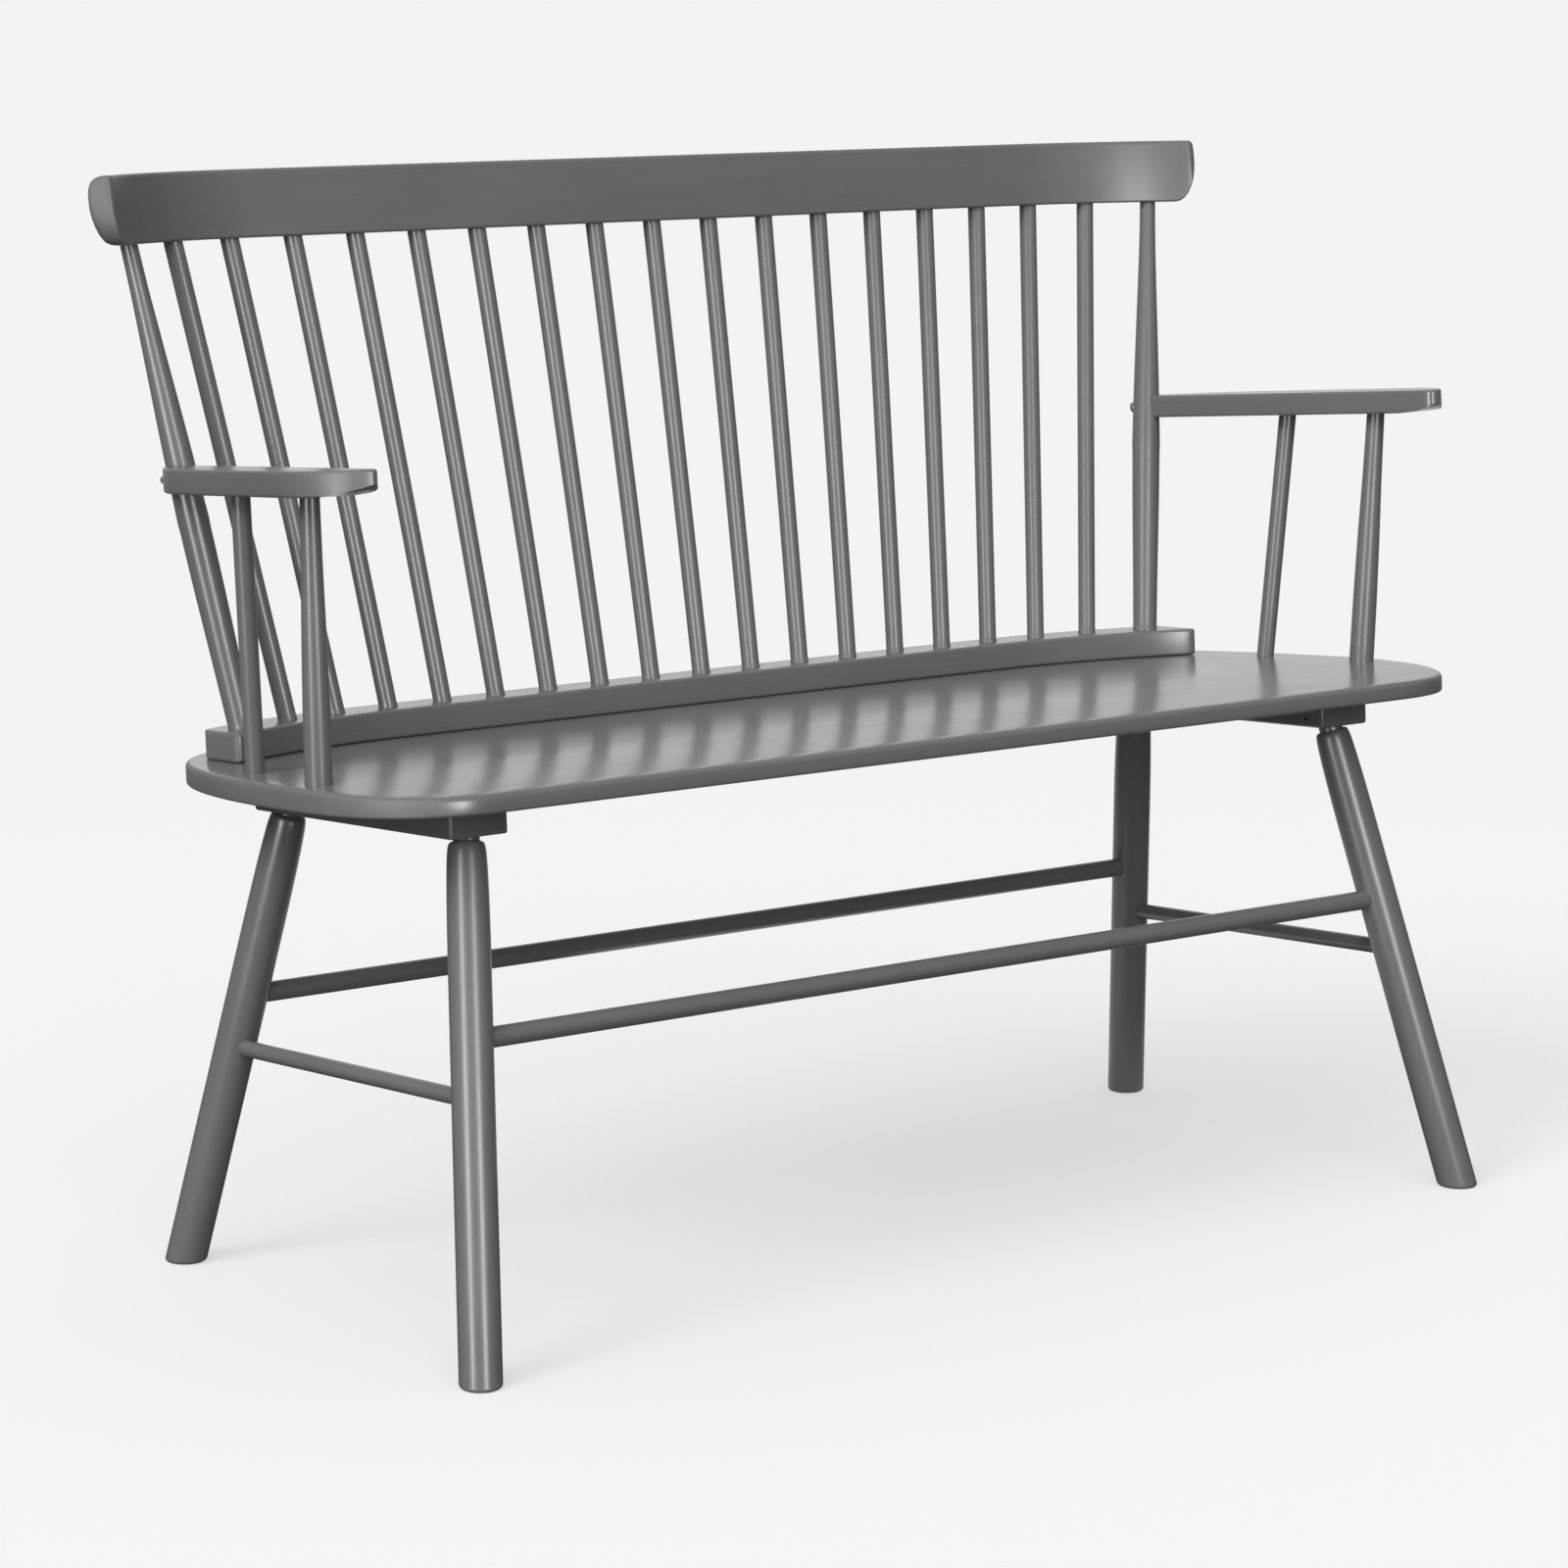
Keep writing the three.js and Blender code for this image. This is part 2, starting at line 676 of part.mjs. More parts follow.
function stretcherBores(end, side) {
  const bores = [];
  for (const { diameter, ends } of Object.values(stretchers)) {
    const own = ends.find(([e, s]) => e === end && s === side);
    if (!own) continue;
    const here = onLeg(...own);
    const there = onLeg(...ends.find((place) => place !== own));
    const mouth = here.clone().lerp(there, legDiameter / here.distanceTo(there));
    const depth = legDiameter * 3 / 2 - stretcherTenonDepth + gap;
    bores.push(bore(diameter, depth, mouth, here));
  }
  return bores;
}

// Arms: each is let round the outer half of its post
function armFrame(side) {
  const upright = uprightPoints(sides[side] * lastUpright);
  const share = (armHeight - upright.foot.z) / (upright.head.z - upright.foot.z);
  const frame = new THREE.Group();
  frame.position.copy(upright.foot.clone().lerp(upright.head, share));
  frame.rotation.set(-armPitch, 0, sides[side] * armFlare, 'ZXY');
  bench.add(frame);
  frame.updateMatrixWorld(true);
  return frame;
}

// Shares of the width outside the post's axis and of the arm's length ahead of it
const armBackCurveShares = [[1, 0.27], [1, 0.13], [0.42, 0.02]];
const armFrontCurveShares = [[1, 0.8], [1, 0.89], [0.75, 0.945], [0.36, 0.98]];

function armPlan(side) {
  const out = (share) => sides[side] * (armWidth - armOverlap) * share;
  const ahead = (share) => -(armLength - armTip) * share;
  const inner = -sides[side] * armOverlap;
  const [backCurve, frontCurve] = [armBackCurveShares, armFrontCurveShares].map(
    (shares) => shares.map(([x, y]) => [out(x), ahead(y)]));
  const tipOut = sides[side] * postWaistDiameter / 2;
  const shape = new THREE.Shape();
  shape.moveTo(inner, armTip);
  shape.lineTo(tipOut, armTip);
  shape.bezierCurveTo(...backCurve[2], ...backCurve[1], ...backCurve[0]);
  shape.lineTo(...frontCurve[0]);
  shape.bezierCurveTo(...frontCurve[1], ...frontCurve[2], ...frontCurve[3]);
  shape.lineTo(inner + sides[side] * armCornerAcross, ahead(1));
  shape.quadraticCurveTo(inner, ahead(1), inner, ahead(1) + armCornerAlong);
  return shape;
}

function arm(side, frame) {
  const board = new THREE.ExtrudeGeometry(armPlan(side), {
    depth: armThickness - 2 * armRounding,
    bevelThickness: armRounding,
    bevelSize: armRounding,
    bevelOffset: -armRounding,
    bevelSegments: armBevelSteps,
    curveSegments: curveSteps,
  });
  board.translate(0, 0, armRounding - armThickness / 2);
  const mesh = piece(`arm_${side}`, board, paint);
  frame.add(mesh);
  frame.updateMatrixWorld(true);
  return mesh;
}

// The underside of an arm rises to its front end, ever more steeply: shares of length and depth
const armScoopShares = [[0, 0], [0.3, 0.12], [0.55, 0.3], [0.78, 0.54], [0.92, 0.78], [1, 1]];

function armScoop(frame) {
  const wedge = new THREE.Shape();
  for (const [along, up] of armScoopShares) {
    wedge.lineTo(-armScoopLength * along, armScoopDepth * up);
  }
  wedge.lineTo(-armScoopLength - overrun, armScoopDepth);
  wedge.lineTo(-armScoopLength - overrun, -overrun);
  wedge.lineTo(0, -overrun);
  const width = 2 * armWidth;
  const cutter = new THREE.ExtrudeGeometry(wedge, { depth: 2 * width, bevelEnabled: false });
  cutter.applyMatrix4(new THREE.Matrix4().makeBasis(
    point(0, 1, 0), point(0, 0, 1), point(1, 0, 0)));
  cutter.translate(-width, armTip - armLength + armScoopLength, -armThickness / 2);
  const mesh = new THREE.Mesh(cutter);
  frame.add(mesh);
  mesh.updateMatrixWorld(true);
  frame.remove(mesh);
  return mesh;
}

// Arm supports
const supportPlaces = {
  front: {
    inset: frontSupportInset, back: frontSupportBack, foot: frontSupportFootDiameter,
    lean: frontSupportLean, forward: frontSupportForward,
  },
  rear: {
    inset: rearSupportInset, back: rearSupportBack, foot: supportDiameter,
    lean: rearSupportLean, forward: rearSupportForward,
  },
};

// Where the line from a support's foot meets the underside of its arm
function supportPoints(end, side, frame) {
  const place = supportPlaces[end];
  const across = seatWidth / 2 - place.inset;
  const foot = onSeat(sides[side] * across, place.back, seatTop(place.back));
  const rise = armHeight - foot.z;
  const aim = foot.clone().add(point(sides[side] * place.lean, -place.forward, rise));
  const normal = point(0, 0, 1).transformDirection(frame.matrixWorld);
  const underside = frame.localToWorld(point(0, 0, -armThickness / 2));
  const direction = aim.sub(foot).normalize();
  const reach = underside.clone().sub(foot).dot(normal) / direction.dot(normal);
  return { foot, head: foot.clone().addScaledVector(direction, reach) };
}

// Shares of the height and of the swelling from head (0) to foot (1)
const supportSwellShares = [[0, 1], [0.25, 0.93], [0.5, 0.66], [0.75, 0.24], [1, 0]];

function support(end, side, frame) {
  const { foot, head } = supportPoints(end, side, frame);
  const length = foot.distanceTo(head);
  const thin = supportDiameter / 2;
  const swell = supportPlaces[end].foot / 2 - thin;
  const stations = swell ? supportSwellShares : [supportSwellShares[0], supportSwellShares.at(-1)];
  const body = stations.map(([height, share]) => flat(thin + swell * share, height * length));
  const profile = [
    flat(body[0].x, -supportSeatDepth),
    ...body.slice(swell ? 0 : 1, -1),
    flat(thin, length + supportArmDepth),
  ];
  const mesh = along(piece(`arm_support_${end}_${side}`, lathe(profile, rodSides), paint), foot, head);
  bench.add(mesh);
  return mesh;
}

function supportBores(end, side, frame) {
  const { foot, head } = supportPoints(end, side, frame);
  const beyond = head.clone().multiplyScalar(2).sub(foot);
  const below = foot.clone().multiplyScalar(2).sub(head);
  return {
    seat: bore(supportPlaces[end].foot, supportSeatDepth + gap, foot, below),
    arm: bore(supportDiameter, supportArmDepth + gap, head, beyond),
  };
}

// A fastener along its axis: the underside of the head is at 0, the shank runs on
function fastener(head, headHeight, shank, length) {
  return lathe([
    flat(head / 4, -headHeight),
    flat(head / 2, -headHeight / 2),
    flat(head / 2, 0),
    flat(shank / 2, 0),
    flat(shank / 2, length),
  ], screwSides);
}

// The hole for it, with room for the head
function fastenerHole(head, headRoom, shank, length) {
  return lathe([
    flat(head / 2 + gap, -headRoom),
    flat(head / 2 + gap, 0),
    flat(shank / 2 + gap, 0),
    flat(shank / 2 + gap, length + gap),
  ], screwSides);
}

function fasten(name, geometry, [start, end], finish = steel) {
  const mesh = along(piece(name, geometry, finish), start, end);
  bench.add(mesh);
  return mesh;
}

const holesAt = (geometry, places) => places.map(
  ([start, end]) => along(new THREE.Mesh(geometry), start, end));

function armBoltPlace(side, frame) {
  const seat = postWaistDiameter / 2 - armBoltSpotDepth;
  const outward = point(sides[side] * Math.cos(armBoltTurn), -Math.sin(armBoltTurn), 0);
  const start = frame.localToWorld(outward.clone().multiplyScalar(-seat));
  return [start, frame.localToWorld(outward)];
}

function cleatScrewPlaces(side) {
  const [first, last] = [legPlaces.front.back + legDiameter, legPlaces.rear.back - legDiameter];
  const places = [];
  for (let i = 0; i < cleatScrewsPerCleat; i += 1) {
    const back = first + (last - first) * i / (cleatScrewsPerCleat - 1);
    const x = sides[side] * cleatSpacing / 2;
    places.push([
      onSeat(x, back, cleatUnderside + cleatScrewRecess), onSeat(x, back, cleatTop),
    ]);
  }
  return places;
}

// Each screw comes up midway between two spindles
function railScrewPlaces() {
  const places = [];
  for (let i = 0; i < railScrewCount; i += 1) {
    const pitches = (i - (railScrewCount - 1) / 2) * railScrewStep;
    const place = onBow(railBow, pitches * pitchBelow);
    const back = railSetback + place.y;
    places.push([
      onSeat(place.x, back, seatUnderside + screwHeadHeight), onSeat(place.x, back, seatTopRear),
    ]);
  }
  return places;
}

// A pin runs from the inner face of the cleat to the leg's axis, or a little past it
function legPinPlaces(side) {
  return ['front', 'rear'].map((end) => {
    const { foot, head } = legPoints(end, side);
    const beyond = head.clone().add(head.clone().sub(foot).setLength(legPinRise));
    const inner = seatFrame.worldToLocal(beyond);
    const face = sides[side] * (cleatSpacing - cleatWidth) / 2;
    return [onSeat(face, inner.y, inner.z), onSeat(inner.x, inner.y, inner.z)];
  });
}

// Build the wooden pieces
const seat = seatBoard();
const rail = spindleRail();
const crest = crestRail();
const cleats = { left: cleat('left'), right: cleat('right') };
const back = uprights();
const legs = [];
const supports = [];
const arms = {};
const armFrames = {};
for (const side of ['left', 'right']) {
  armFrames[side] = armFrame(side);
  arms[side] = arm(side, armFrames[side]);
  for (const end of ['front', 'rear']) {
    legs.push({ end, side, mesh: leg(end, side) });
    supports.push({ end, side, mesh: support(end, side, armFrames[side]) });
  }
}
Object.keys(stretchers).forEach(stretcher);
bench.updateMatrixWorld(true);

// Cut each joint
const floor = floorCutter();
const pinHole = lathe([
  flat(legPinDiameter / 2 + gap, -overrun), flat(legPinDiameter / 2 + gap, cleatWidth / 2 + overrun),
], screwSides);
const pin = lathe([
  flat(legPinDiameter / 2, 0), flat(legPinDiameter / 2, cleatWidth / 2),
], screwSides);
const pinPlaces = { left: legPinPlaces('left'), right: legPinPlaces('right') };
const pinHoles = holesAt(pinHole, [...pinPlaces.left, ...pinPlaces.right]);
const cleatScrewLength = cleatThickness - cleatScrewRecess + gap + cleatScrewReach;
const cleatScrewHole = fastenerHole(screwHeadDiameter, cleatThickness, screwDiameter, cleatScrewLength);
const railScrewLength = seatFrontThickness - screwHeadHeight + railUnderside + railScrewReach;
const cleatScrew = fastener(screwHeadDiameter, screwHeadHeight, screwDiameter, cleatScrewLength);
const railScrew = fastener(screwHeadDiameter, screwHeadHeight, screwDiameter, railScrewLength);
const railScrewHole = fastenerHole(screwHeadDiameter, seatFrontThickness, screwDiameter, railScrewLength);
const railScrewHoles = holesAt(railScrewHole, railScrewPlaces());
const seatCutters = [...railScrewHoles];
const railCutters = [...railScrewHoles];
const crestCutters = [];

for (const upright of back) {
  const bores = uprightBores(upright);
  railCutters.push(bores.below);
  crestCutters.push(bores.above);
}

for (const { end, side, mesh } of legs) {
  cut(mesh, [floor, ...stretcherBores(end, side), ...pinHoles]);
}

for (const side of ['left', 'right']) {
  const frame = armFrames[side];
  const post = back.find((upright) => upright.isPost && upright.side === side);
  const holes = holesAt(cleatScrewHole, cleatScrewPlaces(side));
  const cleatCutters = [...holes, ...pinHoles];
  const boltHole = fastenerHole(
    armBoltHeadDiameter, armBoltHeadHeight + overrun, armBoltDiameter, armBoltLength);
  const [boltCutter] = holesAt(boltHole, [armBoltPlace(side, frame)]);
  const wide = postWaistDiameter / 2 + gap;
  const clearance = lathe([flat(wide, -armThickness), flat(wide, armThickness)], postSides);
  const middle = frame.localToWorld(point(0, 0, 0));
  const postCutter = along(new THREE.Mesh(clearance), middle, post.head);
  const armCutters = [postCutter, armScoop(frame), boltCutter];
  for (const end of ['front', 'rear']) {
    const { foot, head } = legPoints(end, side);
    const beyond = head.clone().multiplyScalar(2).sub(foot);
    cleatCutters.push(bore(legTenonDiameter, legTenonDepth + gap, head, beyond, legSides));
    const bores = supportBores(end, side, frame);
    seatCutters.push(bores.seat);
    armCutters.push(bores.arm);
  }
  seatCutters.push(...holes);
  cut(cleats[side], cleatCutters);
  cut(arms[side], armCutters);
  cut(post.mesh, [boltCutter]);
  const bolt = fastener(armBoltHeadDiameter, armBoltHeadHeight, armBoltDiameter, armBoltLength);
  fasten(`arm_bolt_${side}`, bolt, armBoltPlace(side, frame), paint);
  pinPlaces[side].forEach((place, i) => fasten(`leg_pin_${side}_${i + 1}`, pin, place));
  cleatScrewPlaces(side).forEach((place, i) => {
    fasten(`cleat_screw_${side}_${i + 1}`, cleatScrew, place);
  });
}
cut(seat, seatCutters);
cut(rail, railCutters);
cut(crest, crestCutters);

railScrewPlaces().forEach((place, i) => fasten(`rail_screw_${i + 1}`, railScrew, place));

// The origin is the middle of the box that the bench fills, at floor level
const part = new THREE.Group();
part.add(bench);
const box = new THREE.Box3().setFromObject(bench, true);
const middle = box.getCenter(new THREE.Vector3());
bench.position.set(-middle.x, -middle.y, -box.min.z);

export default part;
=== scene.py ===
# %% [markdown]
# A painted deacons bench, dressed on top of its measured frame. The frame gives
# every piece its place. This script gives each wooden piece the soft edges and
# the round turnings that the real bench has, then the satin paint and the light.

# %% Load the frame
import math

import bmesh
import bpy
from mathutils import Euler, Matrix, Vector


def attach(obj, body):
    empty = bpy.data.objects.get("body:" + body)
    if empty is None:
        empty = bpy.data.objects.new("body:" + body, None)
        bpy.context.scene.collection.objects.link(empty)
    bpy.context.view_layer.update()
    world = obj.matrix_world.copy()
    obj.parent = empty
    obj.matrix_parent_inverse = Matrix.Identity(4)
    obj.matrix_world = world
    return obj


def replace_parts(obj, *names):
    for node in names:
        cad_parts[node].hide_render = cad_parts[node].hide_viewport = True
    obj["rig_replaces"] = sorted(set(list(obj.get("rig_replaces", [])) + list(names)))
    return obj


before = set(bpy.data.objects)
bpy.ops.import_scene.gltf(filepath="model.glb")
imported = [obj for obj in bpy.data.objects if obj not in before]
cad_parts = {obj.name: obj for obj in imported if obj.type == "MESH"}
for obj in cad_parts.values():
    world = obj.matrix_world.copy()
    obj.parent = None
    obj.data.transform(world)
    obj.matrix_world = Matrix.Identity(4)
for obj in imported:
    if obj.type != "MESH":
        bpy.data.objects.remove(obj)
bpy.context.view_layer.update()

# %% [markdown]
# The camera comes first, because it frames all that follows. The picture was
# taken with a long lens from the left of the bench, a little above its crest.
# These numbers put the feet and the crest where they fall in the photograph.

# %% Camera
MM = 0.001
camera_place = (-2.4619, -3.2709, 1.0888)
camera_yaw, camera_pitch = math.radians(36.50), math.radians(9.844)
sensor_width, lens_length = 36, 112.08
bpy.ops.object.camera_add(
    location=camera_place,
    rotation=(math.pi / 2 - camera_pitch, 0, -camera_yaw),
)
camera = bpy.context.object
camera.data.sensor_width = sensor_width
camera.data.lens = lens_length
bpy.context.scene.camera = camera
print("lens", lens_length)

# %% [markdown]
# All new pieces are shaped in a few ways, so these helpers come next. One starts
# a primitive with nothing else selected, one picks corners by a rule, and one
# sets a finished piece to rest with its place in its mesh.


# %% Helpers for modelling
def clear_selection():
    if bpy.context.mode != "OBJECT":
        bpy.ops.object.mode_set(mode="OBJECT")
    bpy.ops.object.select_all(action="DESELECT")


def take(piece):
    """Makes piece the only one selected."""
    clear_selection()
    piece.select_set(True)
    bpy.context.view_layer.objects.active = piece


def edit(piece):
    take(piece)
    bpy.ops.object.mode_set(mode="EDIT")
    bpy.ops.mesh.select_mode(type="VERT")
    bpy.ops.mesh.select_all(action="SELECT")


def pick(piece, kind, rule):
    """Selects the corners, edges or faces that the rule accepts, and counts them."""
    bpy.ops.mesh.select_mode(type={"verts": "VERT", "edges": "EDGE", "faces": "FACE"}[kind])
    bpy.ops.mesh.select_all(action="DESELECT")
    shape = bmesh.from_edit_mesh(piece.data)
    shape.normal_update()
    found = [part for part in getattr(shape, kind) if rule(part)]
    for part in found:
        part.select_set(True)
    shape.select_flush_mode()
    bmesh.update_edit_mesh(piece.data)
    return len(found)


def settle(piece, smooth=35):
    """Applies the place, turns all faces outward and shades the round parts smooth."""
    take(piece)
    bpy.ops.object.transform_apply(location=True, rotation=True, scale=True)
    edit(piece)
    bpy.ops.mesh.remove_doubles(threshold=0.01 * MM)
    bpy.ops.mesh.normals_make_consistent(inside=False)
    bpy.ops.object.mode_set(mode="OBJECT")
    bpy.ops.object.shade_smooth_by_angle(angle=math.radians(smooth))
    return piece


def apply_modifier(piece, kind, **settings):
    take(piece)
    modifier = piece.modifiers.new(kind.title(), kind)
    for key, value in settings.items():
        setattr(modifier, key, value)
    bpy.ops.object.modifier_apply(modifier=modifier.name)


def copy_of(model, name):
    """A copy with its own mesh."""
    take(model)
    bpy.ops.object.duplicate()
    copy = bpy.context.object
    copy.name = name
    return copy


dressed = []


def finish_piece(piece, node, slot="painted_wood"):
    """The piece stands for its node and moves with the bench; its name ends in wood or steel."""
    piece.name = f"{node}.wood" if slot == "painted_wood" else f"{node}.steel"
    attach(piece, "root")
    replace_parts(piece, node)
    dressed.append(piece)
    return piece


print("helpers ready")

# %% [markdown]
# The bench has one shared layout. The seat rakes back by a few degrees, so
# whatever stands on it is measured back from its front edge and up from its top.
# Both rails are straight in the middle and turn forward on an arc at each end.

# %% Layout of the bench
seat_front = -218.11
seat_height = 450
seat_rake = math.radians(3.6)
rail_straight, rail_bend, rail_setback = 322, 406, 395.4
rail_reach, rail_width, rail_height = 512, 53, 24
crest_straight, crest_bend, crest_setback = 410, 242, 469.4
crest_half_length, crest_thickness, crest_height, crest_rise = 594.16, 21.5, 57, 844.2
seat_crown, seat_rear_share = 4.6, 0.72
rail_underside = seat_crown * seat_rear_share + 0.3
sides = {"left": -1, "right": 1}


def on_seat(x, back, rise):
    """A point given across, back from the front edge and up from the seat."""
    y = back * math.cos(seat_rake) + rise * math.sin(seat_rake)
    z = rise * math.cos(seat_rake) - back * math.sin(seat_rake)
    return Vector((x, seat_front + y, seat_height + z)) * MM


def on_arc(straight, bend, distance):
    """A point at a distance along the centre line of a bowed rail."""
    side, length = math.copysign(1, distance), abs(distance)
    if length <= straight:
        return distance, 0
    angle = (length - straight) / bend
    return side * (straight + bend * math.sin(angle)), -bend * (1 - math.cos(angle))


rail_top_middle = on_seat(0, rail_setback, rail_underside + rail_height) / MM
back_lean = math.atan2(
    seat_front + crest_setback - rail_top_middle.y, crest_rise - rail_top_middle.z
)
print("the back leans", round(math.degrees(back_lean), 1), "degrees")

# %% [markdown]
# The seat is one solid board with a D-shaped end on each side. A closed Bezier
# outline gives the plan, because its corners are long easy curves that no
# primitive has. It becomes a face, and rows of corners across it take the
# shallow hollow and swell of a seat before the board gets its thickness.


# %% Outline to face
def outlined_face(name, knots, resolution):
    """A flat face from knots of (place, handle before, handle after), in millimetres."""
    clear_selection()
    bpy.ops.curve.primitive_bezier_circle_add(location=(0, 0, 0))
    outline = bpy.context.object
    spline = outline.data.splines[0]
    spline.bezier_points.add(len(knots) - len(spline.bezier_points))
    for knot, (place, before, after) in zip(spline.bezier_points, knots):
        knot.handle_left_type = knot.handle_right_type = "FREE"
        knot.co = Vector((*place, 0)) * MM
        knot.handle_left = Vector((*before, 0)) * MM
        knot.handle_right = Vector((*after, 0)) * MM
    outline.data.resolution_u = resolution
    bpy.ops.object.convert(target="MESH")
    piece = bpy.context.object
    piece.name = name
    edit(piece)
    bpy.ops.mesh.remove_doubles(threshold=0.05 * MM)
    bpy.ops.mesh.dissolve_limited(angle_limit=math.radians(0.05))
    bpy.ops.mesh.select_all(action="SELECT")
    bpy.ops.mesh.edge_face_add()
    return piece


seat_half, seat_depth, seat_thickness = 571.5, 435, 15
seat_curve_steps = 28


def seat_corner(side):
    """Front corner, widest point and rear corner of one end of the seat."""
    def at(across, back):
        return side * across * seat_half, back * seat_depth
    front, widest, rear = at(0.812, 0), at(1, 0.33), at(0.768, 1)
    return [
        (front, front, at(0.94, 0)),
        (widest, at(1, 0.1), at(1, 0.61)),
        (rear, at(0.964, 1), rear),
    ]


right_end = seat_corner(1)
left_end = [(place, after, before) for place, before, after in reversed(seat_corner(-1))]
seat = outlined_face("seat", right_end + left_end, seat_curve_steps)
print("outline corners", len(seat.data.vertices))

# %% [markdown]
# The top of the seat isn't flat. It climbs behind the front edge, crests about a
# third of the way back and falls again to the level strip under the rail. The
# paint mirrors the room, so this shape shows in the reflections.

# %% Shape the top of the seat
seat_contour = [
    (0, 0), (0.07, 0.35), (0.17, 0.7), (0.36, 1), (0.53, 0.8), (0.68, 0.72), (1, 0.72),
]
seat_rim, seat_rows = 16, 27


def seat_rise(back):
    """Height of the seat above its front edge, eased between the measured shares."""
    share = min(max(back / seat_depth, 0), 1)
    for (low, first), (high, last) in zip(seat_contour, seat_contour[1:]):
        if share <= high:
            way = (share - low) / (high - low)
            return seat_crown * (first + (last - first) * way)
    return seat_crown * seat_rear_share


def eased_rise(back, reach=16):
    """The same height, averaged over a short reach so that no crease is left."""
    steps = [seat_rise(back + reach * (i / 4 - 1)) for i in range(9)]
    return sum(steps) / len(steps)


edit(seat)
pick(seat, "faces", lambda face: True)
bpy.ops.mesh.inset(thickness=seat_rim * MM, depth=0)
for row in range(1, seat_rows):
    back = row * seat_depth / seat_rows
    pick(seat, "faces", lambda face: all(
        min(edge.calc_length() for edge in face.edges) > 0 and len(edge.link_faces) == 2
        for edge in face.edges))
    bpy.ops.mesh.bisect(plane_co=(0, back * MM, 0), plane_no=(0, 1, 0))
backs = sorted({round(v.co.y, 5) for v in bmesh.from_edit_mesh(seat.data).verts})
for back in backs:
    pick(seat, "verts", lambda v: round(v.co.y, 5) == back)
    bpy.ops.transform.translate(value=(0, 0, eased_rise(back / MM) * MM))
print("rows", len(backs), "faces", len(bmesh.from_edit_mesh(seat.data).faces))

# %% [markdown]
# Extruding the shaped face downward gives the board its sides. The underside is
# pressed flat, because the cleats are screwed to it. The rim is rounded last:
# wide on top, where sitters touch it, and tight below.

# %% Thicken the seat and round its rim
rim_rounding_above, rim_rounding_below = 4.5, 2.5
pick(seat, "faces", lambda face: True)
bpy.ops.mesh.extrude_region_move(
    TRANSFORM_OT_translate={"value": (0, 0, -seat_thickness * MM)})
bpy.ops.transform.resize(value=(1, 1, 0), center_override=(0, 0, -seat_thickness * MM))
bpy.ops.mesh.select_all(action="SELECT")
bpy.ops.mesh.normals_make_consistent(inside=False)


def rim_edges(top):
    """A rule for the edges where the top or the underside meets the sides."""
    def rule(edge):
        if len(edge.link_faces) != 2:
            return False
        flat, wall = sorted((abs(f.normal.z) for f in edge.link_faces), reverse=True)
        high = (edge.verts[0].co.z + edge.verts[1].co.z) / 2 > -seat_thickness / 2 * MM
        return flat > 0.9 and wall < 0.3 and high == top
    return rule


rounded = pick(seat, "edges", rim_edges(True))
bpy.ops.mesh.bevel(offset=rim_rounding_above * MM, segments=5, affect="EDGES")
rounded += pick(seat, "edges", rim_edges(False))
bpy.ops.mesh.bevel(offset=rim_rounding_below * MM, segments=3, affect="EDGES")
bpy.ops.object.mode_set(mode="OBJECT")


def lay_on_seat(piece, back=0, rise=0):
    """Moves a piece modelled flat into the raked frame of the seat."""
    piece.location = on_seat(0, back, rise)
    piece.rotation_euler = (-seat_rake, 0, 0)
    return settle(piece)


lay_on_seat(seat)
finish_piece(seat, "seat_board")
print("rounded edges", rounded, "seat faces", len(seat.data.polygons))

# %% [markdown]
# The spindle rail and the crest are bars with one section from end to end. A
# section is extruded in short steps across the bench. At each end the steps close
# in, which rounds the ends in plan and in front view without any cut. The plain
# section of the spindle rail is a plane with rounded corners.


# %% Bars with rounded ends
def section_face(name, depth, height, front_edge, back_edge):
    """A rounded section in the plane across the bar, its underside at zero height."""
    clear_selection()
    bpy.ops.mesh.primitive_plane_add(size=1, rotation=(0, math.pi / 2, 0))
    piece = bpy.context.object
    piece.name = name
    bpy.ops.object.transform_apply(rotation=True)
    edit(piece)
    bpy.ops.transform.resize(value=(1, depth * MM, height * MM))
    bpy.ops.transform.translate(value=(0, 0, height / 2 * MM))
    for radius, front in ((front_edge, True), (back_edge, False)):
        pick(piece, "verts", lambda v: (v.co.y < 0) == front and abs(v.co.y) > 0.49 * depth * MM)
        bpy.ops.mesh.bevel(offset=radius * MM, segments=6, affect="VERTICES")
    bpy.ops.mesh.select_all(action="SELECT")
    return piece


def rounding(radius, distance):
    """How far a round corner stands back at a distance from the end."""
    if distance >= radius:
        return 0
    return radius - math.sqrt(radius ** 2 - (radius - distance) ** 2)


def stations(straight, reach, end_radii, arc_step):
    """Distances from the middle: close together at the ends and along the arcs."""
    found = {reach - radius * (1 - math.cos(math.pi / 2 * i / 7))
             for radius in end_radii for i in range(8)}
    length = straight
    while length < reach - max(end_radii):
        found.add(length)
        length += arc_step
    found.update(straight * i / 4 for i in range(4))
    kept = []
    for place in sorted(found, reverse=True):
        if not kept or kept[-1] - place > 0.25:
            kept.append(place)
    return [-x for x in kept] + [x for x in reversed(kept) if x > 0]


